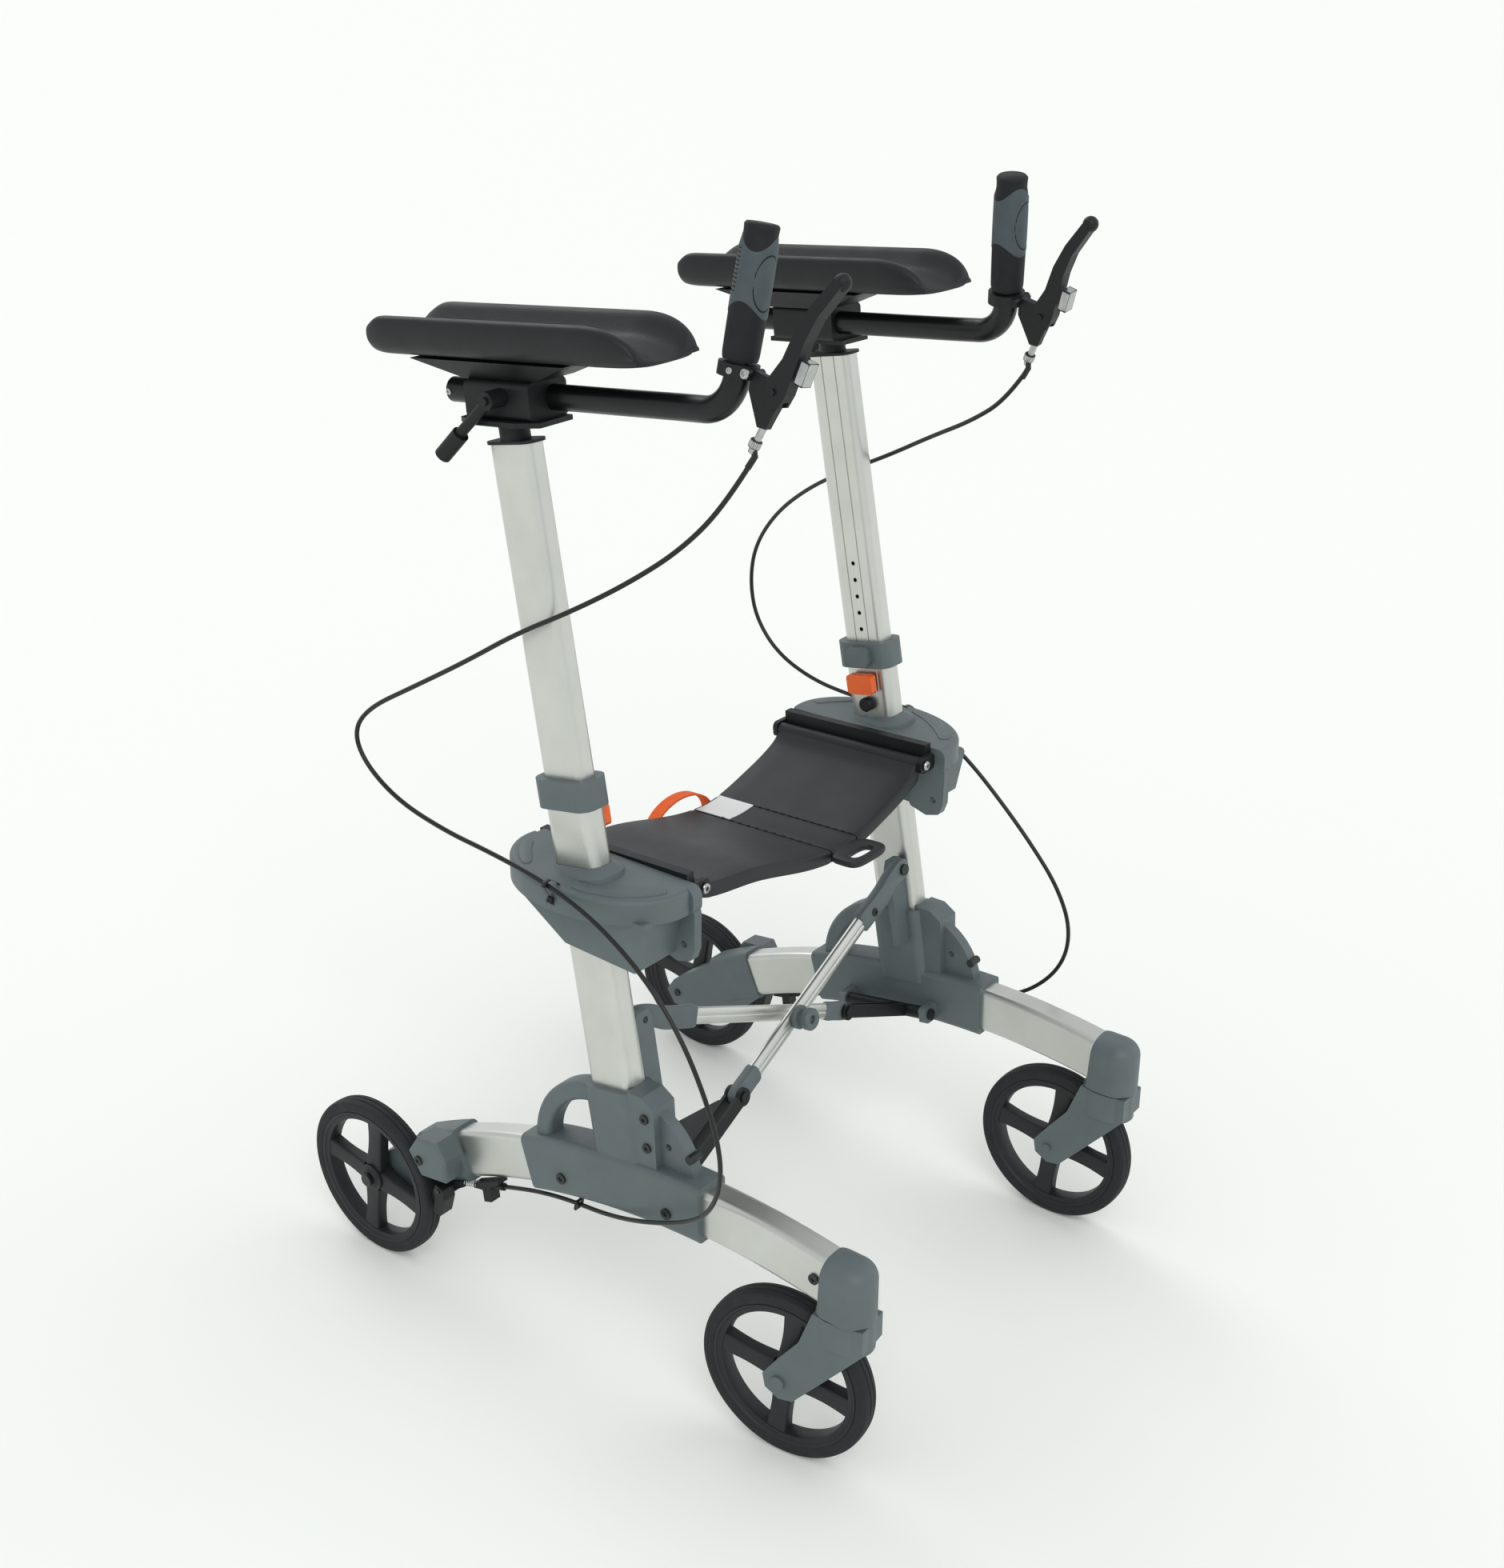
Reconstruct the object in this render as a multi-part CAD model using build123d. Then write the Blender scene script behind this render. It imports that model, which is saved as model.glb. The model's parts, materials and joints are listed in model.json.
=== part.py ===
from build123d import *
from math import asin, atan2, cos, degrees, pi, radians, sin, tan
import os

# Forearm-support rollator: a side-folding four-wheeled walking frame, in millimetres.
# +Z is up, -Y is the way it rolls, +X is the user's left. The origin is the centre
# of the footprint on the floor. Parts are shaped for the left side (+X), then mirrored.

# wheels
WHEEL_R = 100
TYRE_DEPTH = 15
TYRE_WIDTH = 24
HUB_WIDTH = 28
HUB_R = 17
SPOKE_WIDTH = 21
SPOKES = 4
AXLE_R = 5
RUN_GAP = 0.05
REAR_X = 302
REAR_Y = 300
CASTER_X = 267
CASTER_Y = -362
CASTER_TRAIL = 63
CASTER_TURN = {"right": 6.7, "left": 0.8}

# side rail, a bent hollow profile; its centre line is one arc in the YZ plane
RAIL_X = 267
RAIL_WIDTH = 32
RAIL_HEIGHT = 57.5
RAIL_WALL = 2.5
RAIL_ARC_Y = -203
RAIL_ARC_Z = -667.5
RAIL_ARC_R = 918
RAIL_FRONT_Y = -350
RAIL_REAR_Y = 222

# upright, telescopic, leaning back and a little inwards
LEAN_BACK = 9.7
LEAN_IN = 0.67
POST_X = 264
POST_Y = -64
POST_Z = 344
LOWER_DEPTH = 61
LOWER_WIDTH = 31
LOWER_WALL = 2.5
LOWER_BOTTOM = -58
LOWER_TOP = 345
UPPER_DEPTH = 55.4
UPPER_WIDTH = 25.4
UPPER_WALL = 2
UPPER_BOTTOM = 190
UPPER_TOP = 688
HOLE_PITCH = 20
FIRST_HOLE = 366
HOLES = 5

# folding cross brace, in planes square to the lean; W is the distance in front of the upright's axis
PIVOT_X = 230
PIVOT_TOP_S = 70
PIVOT_DROP = 190.7
ARM_LENGTH = 373
LINK_LENGTH = 125
FRONT_ARM_W = (21, 33)
REAR_ARM_W = (1, 10.5)
TONGUE_W = (11.5, 20.5)
LUG_FRONT_W = (38.5, 48)
LUG_REAR_W = (-85, -75)
PIN_R = 4
EYE_R = 10.5

# seat
SEAT_HINGE_X = 200
SEAT_HINGE_Z = 575
SEAT_MID_Y = -22
SEAT_DEPTH = 204
SEAT_TILT = 2
SEAT_LINE = [(-198, 569), (-100, 559), (0, 534), (60, 530), (125, 545), (198, 571)]
SEAT_THICK = 16
STRIP_X = 50
STRIP_HALF = 23.5
STRIP_Z = 530

# forearm support
ARM_ORIGIN = (232, 65, 1062)
ARM_PITCH = 4.5
ARM_TOE_IN = 1.5
BAR_R = 12.5
BAR_WALL = 2
BAR_REAR = 88
BAR_BEND_R = 37
BAR_CORNER = 257
PAD_BOTTOM = 37
PAD_RIM = 78
PAD_HALF_WIDTH = 54
PAD_FRONT = -188
PAD_REAR = 155
GRIP_LOW = (220.7, -195, 1128)
GRIP_HIGH = (202.6, -206, 1244)
GRIP_R = 18

CABLE_R = 2.5

os.makedirs("parts", exist_ok=True)


# ---------------------------------------------------------------- frames and helpers

def rail_point(y, offset=0):
    """Point (y, z) of the rail at a given y of its centre line, moved outwards by offset."""
    lean = asin((y - RAIL_ARC_Y) / RAIL_ARC_R)
    reach = RAIL_ARC_R + offset
    return RAIL_ARC_Y + reach * sin(lean), RAIL_ARC_Z + reach * cos(lean)


def post_plane():
    """Frame of the left upright: z along the tube, x outwards, y backwards."""
    back = radians(LEAN_BACK)
    inwards = radians(LEAN_IN)
    up = Vector(-sin(inwards), sin(back) * cos(inwards), cos(back) * cos(inwards))
    out = (Vector(1, 0, 0) - up * up.X).normalized()
    return Plane(origin=(POST_X, POST_Y, POST_Z), x_dir=out, z_dir=up)


def brace_plane(side_x):
    """Frame of the brace at a pivot column: x across, y up the lean, z forwards (W)."""
    back = radians(LEAN_BACK)
    height = PIVOT_TOP_S
    y = POST_Y + height * sin(back)
    z = POST_Z + height * cos(back)
    return Plane(origin=(side_x, y, z), x_dir=(1, 0, 0), z_dir=(0, -cos(back), sin(back)))


def arm_plane():
    """Frame of the forearm support: x outwards, y backwards along the bar, z up."""
    pitch = radians(ARM_PITCH)
    toe = radians(ARM_TOE_IN)
    back = Vector(sin(toe), cos(toe) * cos(pitch), -sin(pitch)).normalized()
    out = Vector(0, 0, 1).cross(back).normalized() * -1
    up = out.cross(back)
    return Plane(origin=ARM_ORIGIN, x_dir=out, z_dir=up)


def grip_plane():
    """Frame at the foot of the grip: z up the grip, x outwards, y backwards."""
    up = (Vector(*GRIP_HIGH) - Vector(*GRIP_LOW)).normalized()
    out = (Vector(1, 0, 0) - up * up.X).normalized()
    return Plane(origin=GRIP_LOW, x_dir=out, z_dir=up)


POST = post_plane()
ARM = arm_plane()
GRIP = grip_plane()
GRIP_LENGTH = (Vector(*GRIP_HIGH) - Vector(*GRIP_LOW)).length


def side_plate(face, x_low, x_high):
    """Solid from a face drawn in (y, z), between two values of x."""
    return Pos(x_low, 0, 0) * extrude(Plane.YZ * face, x_high - x_low)


def outline(points):
    return make_face(Polyline(*points, close=True))


def rounded_block(size_x, size_y, low, high, radius):
    """Upright block with rounded vertical edges, centred on the local axis."""
    return Pos(0, 0, low) * extrude(RectangleRounded(size_x, size_y, radius), high - low)


def rod(start, end, radius):
    """Round bar between two points."""
    start = Vector(*start)
    end = Vector(*end)
    return extrude(Plane(origin=start, z_dir=end - start) * Circle(radius), (end - start).length)


def x_rod(y, z, radius, x_low, x_high):
    return rod((x_low, y, z), (x_high, y, z), radius)


def screw(y, z, x_face, radius=5.5, height=2.2):
    """Button-head screw lying on a face square to X, with a hexagon recess."""
    head = x_rod(y, z, radius, x_face, x_face + height)
    recess = side_plate(Pos(y, z) * RegularPolygon(radius * 0.45, 6), x_face + height * 0.5, x_face + height)
    return head - recess


def rail_sector(y_low, y_high, grow, x_low, x_high, radius=0.0):
    """Stretch of the bent rail's envelope, grown by a wall thickness."""
    half = RAIL_HEIGHT / 2 + grow
    middle = (y_low + y_high) / 2
    top = ThreePointArc(*(rail_point(y, half) for y in (y_low, middle, y_high)))
    bottom = ThreePointArc(*(rail_point(y, -half) for y in (y_high, middle, y_low)))
    ends = [Line(top @ 1, bottom @ 0), Line(bottom @ 1, top @ 0)]
    solid = side_plate(make_face([top, bottom] + ends), x_low, x_high)
    if radius:
        long_edges = solid.edges().filter_by(GeomType.CIRCLE)
        solid = fillet(long_edges, radius)
    return solid


def save(name, solid, side=None):
    """Write one sub-part; the right-hand one is the mirror image of the left."""
    if side == "right":
        solid = mirror(solid, about=Plane.YZ)
    export_step(solid, f"parts/{side + '_' if side else ''}{name}.step")


RAIL_OUT = RAIL_X + RAIL_WIDTH / 2
RAIL_IN = RAIL_X - RAIL_WIDTH / 2
RAIL_EDGE_R = 7
RAIL_SOLID = rail_sector(RAIL_FRONT_Y, RAIL_REAR_Y, 0, RAIL_IN, RAIL_OUT, RAIL_EDGE_R)
LOWER_SOLID = POST * rounded_block(LOWER_WIDTH, LOWER_DEPTH, LOWER_BOTTOM, LOWER_TOP, 11)
LATCH_SLIDE = POST * (Pos(-LOWER_WIDTH / 2 - 0.5, 0, 288) * Box(1, 34, 66))


# ---------------------------------------------------------------- side frame

def rail():
    """Bent aluminium profile with an open bore along its whole length."""
    bore = rail_sector(RAIL_FRONT_Y - 5, RAIL_REAR_Y + 5, -RAIL_WALL, RAIL_IN + RAIL_WALL,
                       RAIL_OUT - RAIL_WALL, RAIL_EDGE_R - RAIL_WALL)
    small_y, small_z = rail_point(172)
    return RAIL_SOLID - bore - x_rod(small_y, small_z, 2.2, RAIL_OUT - 5, RAIL_OUT + 5)


HOUSING_OUT = 290
HOUSING_IN = 245
LOOP_CENTRE = (-45, 250)
LOOP_R = (74, 96)
EAR_CENTRE = (-95, 270)
EAR_R = 80
EAR_HOLE = (-140, 308)
EAR_HOLE_R = 4
EAR_X = (260, 274)
EAR_STOP = (-168, 304)


def loop_handle():
    """Carrying loop behind the upright, a quarter ring standing on the saddle."""
    ring = Circle(LOOP_R[1]) - Circle(LOOP_R[0])
    ring = Pos(*LOOP_CENTRE) * (ring & Pos(40, 42) * Rectangle(160, 108))
    solid = side_plate(ring, RAIL_X - 13, RAIL_X + 13)
    return fillet(solid.edges().filter_by(GeomType.CIRCLE), 6)


def front_ear():
    """Quarter-round accessory flange in front of the upright."""
    quarter = Pos(*EAR_CENTRE) * (Circle(EAR_R) & Pos(-40, 30) * Rectangle(84, 100))
    return side_plate(quarter, *EAR_X)


def brace_lug(w_range):
    """Lug on the saddle's inner wall that carries the lower brace pin."""
    low, high = w_range
    plane = brace_plane(PIVOT_X)
    block = Pos(7.5, -PIVOT_DROP, low) * extrude(SlotOverall(42, 21), high - low)
    block &= Pos(2.3, -PIVOT_DROP, low) * extrude(Rectangle(26, 21), high - low)
    return plane * block


def brace_tongue():
    """Upright tongue that carries the upper brace pin."""
    low, high = TONGUE_W
    outline_points = [(-9, -100), (18, -100), (18, 0), (12, 11), (-6, 11), (-11, 0)]
    plate = Pos(0, 0, low) * extrude(outline(outline_points), high - low)
    return brace_plane(PIVOT_X) * plate


def pin_hole(drop, w_low, w_high, radius=PIN_R):
    hole = Pos(0, -drop, w_low) * extrude(Circle(radius), w_high - w_low)
    return brace_plane(PIVOT_X) * hole


def joint_housing():
    """Glass-filled nylon joint that grips the rail and the foot of the upright."""
    saddle = rail_sector(-192, 56, 5, HOUSING_IN, HOUSING_OUT, 8)
    socket = POST * rounded_block(44, 73, -88, 9, 14)
    flange = side_plate(outline([(-92, 262), (-132, 262), (-128, 352), (-112, 362), (-92, 362)]), 250, 284)
    solid = saddle + socket + loop_handle() + front_ear() + flange + brace_tongue()
    for lug in (LUG_FRONT_W, LUG_REAR_W):
        solid += brace_lug(lug)
    solid -= RAIL_SOLID
    solid -= LOWER_SOLID
    solid -= x_rod(*EAR_HOLE, EAR_HOLE_R, EAR_X[0] - 5, EAR_X[1] + 5)
    solid -= pin_hole(PIVOT_DROP, LUG_REAR_W[0] - 1, LUG_FRONT_W[1] + 1)
    solid -= pin_hole(0, TONGUE_W[0] - 1, TONGUE_W[1] + 1)
    return solid


def lower_upright():
    """Outer tube of the telescope, with the latch slide on its inner face."""
    bore = rounded_block(LOWER_WIDTH - 2 * LOWER_WALL, LOWER_DEPTH - 2 * LOWER_WALL,
                         LOWER_BOTTOM - 1, LOWER_TOP + 1, 8.5)
    hole = Rot(0, 90, 0) * Cylinder(BUTTON_STEM_R + RUN_GAP, 20)
    hole = Pos(-LOWER_WIDTH / 2, 0, BUTTON_S) * hole
    return LOWER_SOLID + LATCH_SLIDE - POST * bore - POST * hole


BUTTON_S = 302
BUTTON_STEM_R = 4


def release_button():
    """Height latch button, pressed outwards against its spring."""
    face = -LOWER_WIDTH / 2
    cap = Pos(face - 10.5, 0, BUTTON_S) * Box(10, 36, 24)
    cap = fillet(cap.edges().filter_by(Axis.X), 5)
    stem = Pos(face - 3.5, 0, BUTTON_S) * (Rot(0, 90, 0) * Cylinder(BUTTON_STEM_R, 4))
    return POST * (cap + stem)


def height_collar():
    """Guide collar on the outer tube's mouth, with a hood over the button."""
    ring = rounded_block(43, 73, 320, 351, 15)
    hood = Pos(-24, 0, 335.5) * Box(12, 30, 23)
    hood = fillet(hood.edges().filter_by(Axis.X), 6)
    upper = rounded_block(UPPER_WIDTH + 0.4, UPPER_DEPTH + 0.4, 300, 360, 8.2)
    return POST * (ring + hood - upper) - LOWER_SOLID - LATCH_SLIDE


LUG_HOLE = (-129, 527)
LUG_HOLE_R = 4


def seat_bracket():
    """Wing-shaped bracket round the upright that carries the seat hinge."""
    wing = Pos(240, -28) * Ellipse(76, 112)
    wing &= Pos(280, -28) * Rectangle(108, 260)
    shelf = Pos(0, 0, 566) * extrude(wing, 27)
    shelf = fillet(shelf.faces().sort_by(Axis.Z)[-1].edges(), 6)
    root = Pos(227, -31, 578) * Box(14, 226, 30)
    root = fillet(root.edges().filter_by(Axis.X), 10)
    skirt = side_plate(outline([(66, 570), (-18, 516), (-116, 512), (-128, 570)]), 226, 290)
    skirt = fillet(skirt.edges().filter_by(Axis.X), 5)
    lug = outline([(-96, 560), (-96, 512), (-120, 505), (-138, 510), (-143, 524), (-144, 570)])
    lug = side_plate(lug, 221, 232)
    lug = fillet(lug.edges().filter_by(Axis.X), 5)
    solid = shelf + root + skirt + lug - x_rod(*LUG_HOLE, LUG_HOLE_R, 210, 240)
    return solid - LOWER_SOLID - LATCH_SLIDE


SEAT_UP = Vector(0, sin(radians(SEAT_TILT)), cos(radians(SEAT_TILT)))
SEAT_FOOT = Vector(0, SEAT_MID_Y, SEAT_HINGE_Z) - SEAT_UP * SEAT_HINGE_Z
SEAT = Plane(origin=SEAT_FOOT, x_dir=(1, 0, 0), z_dir=SEAT_UP)


def seat_hinge_bar():
    """Black channel screwed to the bracket, with an end cheek at each end of the seat's barrel."""
    half = SEAT_DEPTH / 2
    along = Rot(90, 0, 0)
    solid = Pos(214.2, 0, SEAT_HINGE_Z + 5) * Box(11, SEAT_DEPTH + 1, 31)
    for way in (-1, 1):
        cheek = Pos(205.5, way * (half + 3.3), SEAT_HINGE_Z) * Box(28.4, 6, 19)
        pin = Pos(SEAT_HINGE_X, way * (half - 3.2), SEAT_HINGE_Z) * (along * Cylinder(3, 7))
        head = Pos(SEAT_HINGE_X, way * (half + 7.5), SEAT_HINGE_Z) * (along * Cylinder(5, 2.6))
        solid += fillet(cheek.edges().filter_by(Axis.Y), 6) + pin + head
    return SEAT * solid


def wheel_cut(radius, x_mid, width):
    return x_rod(REAR_Y, WHEEL_R, radius, x_mid - width / 2, x_mid + width / 2)


SHOE_PIVOT = (184, 130)
SHOE_X = (293, 311)
BRACKET_OUT = 316


def rear_wheel_bracket():
    """Rear end casting: sleeve over the rail, arm to the axle and a nose in front of the tyre."""
    sleeve = rail_sector(166, 226, 4, 249, 289, 8)
    arm = outline([rail_point(200, 30), rail_point(226, 26), (306, 119), (319, 100), (306, 81), (288, 82),
                   (182, 118), rail_point(166, -31)])
    arm = side_plate(arm, 252, 288)
    nose = outline([(166, 150), (165, 178), (178, 200), (210, 196), (226, 172), (206, 144)])
    nose = side_plate(nose, 286, BRACKET_OUT)
    nose = fillet(nose.faces().sort_by(Axis.X)[-1].edges(), 5)
    solid = sleeve + arm + nose
    solid -= wheel_cut(WHEEL_R + 2.5, 303, 30)
    solid -= x_rod(REAR_Y, WHEEL_R, AXLE_R, 240, 300)
    solid -= x_rod(*SHOE_PIVOT, 3, 280, 300)
    return solid - RAIL_SOLID


def slot_prism(y_low, y_high, half_width, low, high):
    """Vertical prism with round ends, long in Y, about the caster's axis."""
    length = y_high - y_low
    face = Pos(CASTER_X, (y_low + y_high) / 2) * (Rot(0, 0, 90) * SlotOverall(length, 2 * half_width))
    return Pos(0, 0, low) * extrude(face, high - low)


SEAM_Z = 205
KINGPIN_R = 6


def caster_head():
    """Domed end cap on the rail that carries the caster's kingpin."""
    dome = slot_prism(-399, -332, 25, SEAM_Z, 270)
    dome = fillet(dome.faces().sort_by(Axis.Z)[-1].edges(), 19)
    dome -= side_plate(outline([(-345, 206), (-320, 200), (-320, 300), (-352, 300)]), 230, 300)
    pin = Pos(CASTER_X, CASTER_Y, SEAM_Z) * Cylinder(KINGPIN_R, 58)
    return dome - pin - RAIL_SOLID


def frame_fasteners():
    """Screws, the rear axle bolt, the kingpin, the brace pins and the ear's rubber stop."""
    spots = [(3, 216), (-149, 238)]
    group = [screw(y, z, HOUSING_OUT, 6.5) for y, z in spots]
    group += [screw(y, z, 284) for y, z in [(-116, 338), (-119, 304)]]
    group += [screw(*rail_point(-337), RAIL_OUT, 6)]
    group += [screw(207, 166, BRACKET_OUT, 6)]
    head = x_rod(REAR_Y, WHEEL_R, 8, 317.2, 321)
    group += [x_rod(REAR_Y, WHEEL_R, AXLE_R, 250, 317.2) + head]
    group += [Pos(CASTER_X, CASTER_Y, 212) * Cylinder(KINGPIN_R, 44)]
    lower_pin = pin_hole(PIVOT_DROP, LUG_REAR_W[0], LUG_FRONT_W[1])
    lower_head = pin_hole(PIVOT_DROP, LUG_FRONT_W[1], LUG_FRONT_W[1] + 3, 7)
    group += [lower_pin + lower_head]
    group += [x_rod(*EAR_STOP, 5, EAR_X[0] - 1, EAR_X[1] + 1) - front_ear()]
    group += [x_rod(*SHOE_PIVOT, 3, 281, SHOE_X[1] + 1)]
    return group


def upper_pin(side):
    """Upper brace pin and its head, in front of the tongue on one side and behind it on the other."""
    if side == "left":
        pin = pin_hole(0, TONGUE_W[0], FRONT_ARM_W[1] + 0.6)
        return pin + pin_hole(0, FRONT_ARM_W[1] + 0.6, FRONT_ARM_W[1] + 3.6, 7)
    pin = pin_hole(0, REAR_ARM_W[0] - 0.6, TONGUE_W[1])
    return pin + pin_hole(0, REAR_ARM_W[0] - 3.6, REAR_ARM_W[0] - 0.6, 7)


# ---------------------------------------------------------------- wheels

def wheel(x_mid, y_mid, width=TYRE_WIDTH):
    """Moulded wheel: rim, hub and broad spokes, with a separate tyre round it."""
    rim_r = WHEEL_R - TYRE_DEPTH
    rim = Cylinder(rim_r, width - 2) - Cylinder(rim_r - 9, width)
    core = rim + Cylinder(HUB_R, HUB_WIDTH)
    for index in range(SPOKES):
        angle = 360 / SPOKES * index + 8
        spoke = Pos((rim_r - 4) / 2, 0, 0) * Box(rim_r - 4, SPOKE_WIDTH, width - 6)
        core += Rot(0, 0, angle) * spoke
    core -= Cylinder(AXLE_R + RUN_GAP, HUB_WIDTH + 2)
    tyre = Cylinder(WHEEL_R, width) - Cylinder(rim_r, width + 2)
    tyre = fillet(tyre.edges().filter_by(GeomType.CIRCLE).group_by(SortBy.RADIUS)[-1], 6)
    move = Pos(x_mid, y_mid, WHEEL_R) * Rot(0, 90, 0)
    return Compound(children=[move * core.solid(), move * tyre.solid()])


def caster_location(side):
    """Turn of the caster at rest about its kingpin, for the left-hand shape."""
    turn = CASTER_TURN[side] if side == "left" else -CASTER_TURN[side]
    return Pos(CASTER_X, CASTER_Y, 0) * Rot(0, 0, turn) * Pos(-CASTER_X, -CASTER_Y, 0)


def caster_fork():
    """Two-legged fork under the cap, with the front axle bolt through its legs."""
    axle_y = CASTER_Y + CASTER_TRAIL
    crown = slot_prism(-397, -334, 24, 168, SEAM_Z - 2)
    leg = outline([(-338, 203), (-396, 203), (-396, 174), (-372, 146), (-316, 82), (-299, 79), (-283, 88),
                   (-280, 104), (-292, 121), (-322, 160)])
    legs = side_plate(leg, CASTER_X - 21, CASTER_X + 21)
    solid = crown + legs
    solid = fillet(solid.faces().sort_by(Axis.X)[-1].edges().group_by(Axis.Z)[0], 2)
    solid -= x_rod(axle_y, WHEEL_R, WHEEL_R + 4, CASTER_X - 14.6, CASTER_X + 14.6)
    solid -= Pos(CASTER_X, CASTER_Y, 0) * Cylinder(KINGPIN_R + RUN_GAP, 500)
    solid -= x_rod(axle_y, WHEEL_R, AXLE_R, CASTER_X - 30, CASTER_X + 30)
    bolt = x_rod(axle_y, WHEEL_R, AXLE_R, CASTER_X - 24, CASTER_X + 21)
    bolt += x_rod(axle_y, WHEEL_R, 8, CASTER_X + 21, CASTER_X + 24)
    return Compound(children=[solid.solid(), bolt.solid()])


# ---------------------------------------------------------------- upper telescope

def upper_upright():
    """Inner tube of the telescope, with its row of latch holes and two grooves."""
    tube = rounded_block(UPPER_WIDTH, UPPER_DEPTH, UPPER_BOTTOM, UPPER_TOP, 8)
    tube -= rounded_block(UPPER_WIDTH - 2 * UPPER_WALL, UPPER_DEPTH - 2 * UPPER_WALL,
                          UPPER_BOTTOM - 1, UPPER_TOP + 1, 6)
    for index in range(HOLES):
        hole = Rot(0, 90, 0) * Cylinder(2.6, 10)
        tube -= Pos(-UPPER_WIDTH / 2, 0, FIRST_HOLE + HOLE_PITCH * index) * hole
    for way in (-1, 1):
        tube -= Pos(-UPPER_WIDTH / 2, way * 9, (UPPER_BOTTOM + UPPER_TOP) / 2) * Box(2, 1.6, 600)
    return POST * tube


POST_R = 15
POST_TOP_S = 704
SPIGOT_R = 8
SPIGOT_TOP_S = 720


def arm_post():
    """Black plug and flange in the tube's mouth, with the round post of the forearm support."""
    plug = rounded_block(UPPER_WIDTH - 2 * UPPER_WALL, UPPER_DEPTH - 2 * UPPER_WALL, 655, UPPER_TOP, 6)
    flange = rounded_block(32, 62, UPPER_TOP, UPPER_TOP + 3, 12)
    post = Pos(0, 0, (UPPER_TOP + POST_TOP_S) / 2 + 1) * Cylinder(POST_R, POST_TOP_S - UPPER_TOP - 2)
    spigot = Pos(0, 0, (UPPER_TOP + SPIGOT_TOP_S) / 2) * Cylinder(SPIGOT_R, SPIGOT_TOP_S - UPPER_TOP)
    return POST * (plug + flange + post + spigot)


# ---------------------------------------------------------------- forearm support

BLOCK_LOW = -19
BLOCK_HIGH = 18
BLOCK_IN = -18
BLOCK_OUT = 36
LEVER_HUB = (-6, 4)
LEVER_HUB_R = 9


def clamp_block():
    """Block that turns on the post and holds the bar in a bore, with its six-sided foot plate."""
    size = (BLOCK_OUT - BLOCK_IN, 84, BLOCK_HIGH - BLOCK_LOW)
    block = Pos((BLOCK_IN + BLOCK_OUT) / 2, 0, (BLOCK_LOW + BLOCK_HIGH) / 2) * Box(*size)
    block = fillet(block.edges().filter_by(Axis.Y), 6)
    plate = outline([(-12, -52), (34, -52), (44, -28), (44, 30), (34, 52), (-12, 52)])
    plate = Pos(0, 0, BLOCK_LOW - 4) * extrude(plate, 5)
    solid = block + plate
    solid -= Rot(90, 0, 0) * Cylinder(BAR_R + RUN_GAP, 200)
    solid -= x_rod(*LEVER_HUB, 4 + RUN_GAP, BLOCK_OUT - 15, BLOCK_OUT + 5)
    solid = ARM * solid
    spigot = Pos(0, 0, SPIGOT_TOP_S / 2) * Cylinder(SPIGOT_R + RUN_GAP, SPIGOT_TOP_S + 1)
    clear = Pos(0, 0, POST_TOP_S / 2 + 0.2) * Cylinder(POST_R + 6, POST_TOP_S)
    return solid - POST * spigot - POST * clear


def clamp_lever():
    """Quick clamp lever on the block's outer face: pin, round hub and a handle with a thick end."""
    y, z = LEVER_HUB
    low = BLOCK_OUT + 0.4
    hub = x_rod(y, z, LEVER_HUB_R, low, low + 21)
    pin = x_rod(y, z, 4, BLOCK_OUT - 14, low + 24)
    neck = rod((low + 15, y, z), (low + 19, 42, -36), 5.5)
    end = rod((low + 18, 34, -30), (low + 22, 58, -52), 8.5)
    return ARM * (hub + pin + neck + end)


def pad_base():
    """Tapered moulded shell between the clamp block and the pad."""
    low = Pos(0, 2, BLOCK_HIGH) * Rectangle(56, 92)
    high = Pos(0, 6, PAD_BOTTOM) * Rectangle(84, 200)
    return ARM * loft([low, high])


def arm_pad():
    """Moulded forearm trough, open at both ends, with a nose that drops towards the hand."""
    half = PAD_HALF_WIDTH
    low, rim = PAD_BOTTOM, PAD_RIM
    section = [(-half + 14, low), (half - 14, low), (half - 2, low + 10), (half, rim - 12), (half - 7, rim),
               (half - 16, rim), (26, low + 24), (10, low + 19), (-10, low + 19), (-26, low + 24),
               (-half + 16, rim), (-half + 7, rim), (-half, rim - 12), (-half + 2, low + 10)]
    front = Plane(origin=(0, PAD_FRONT, 0), x_dir=(-1, 0, 0), z_dir=(0, 1, 0))
    solid = extrude(front * outline(section), PAD_REAR - PAD_FRONT)
    nose = outline([(PAD_FRONT + 44, rim + 1), (PAD_FRONT + 18, rim - 7), (PAD_FRONT + 5, rim - 17),
                    (PAD_FRONT, rim - 28), (PAD_FRONT - 1, rim + 1)])
    solid -= side_plate(nose, -60, 60)
    for way in (-1, 1):
        corner = outline([(way * 61, PAD_FRONT - 1), (way * 61, PAD_FRONT + 46), (way * 50, PAD_FRONT + 18),
                          (way * 34, PAD_FRONT - 1)])
        solid -= Pos(0, 0, low - 1) * extrude(corner, rim - low + 2)
    return ARM * solid


def bar_points():
    """Centre line of the handle bar: rear end, bend corner and top."""
    rear = ARM.from_local_coords(Vector(0, BAR_REAR, 0))
    up = (Vector(*GRIP_HIGH) - Vector(*GRIP_LOW)).normalized()
    corner = Vector(*GRIP_LOW) - up * 46.5
    top = Vector(*GRIP_HIGH) - up * 6
    return rear, corner, top


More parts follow.
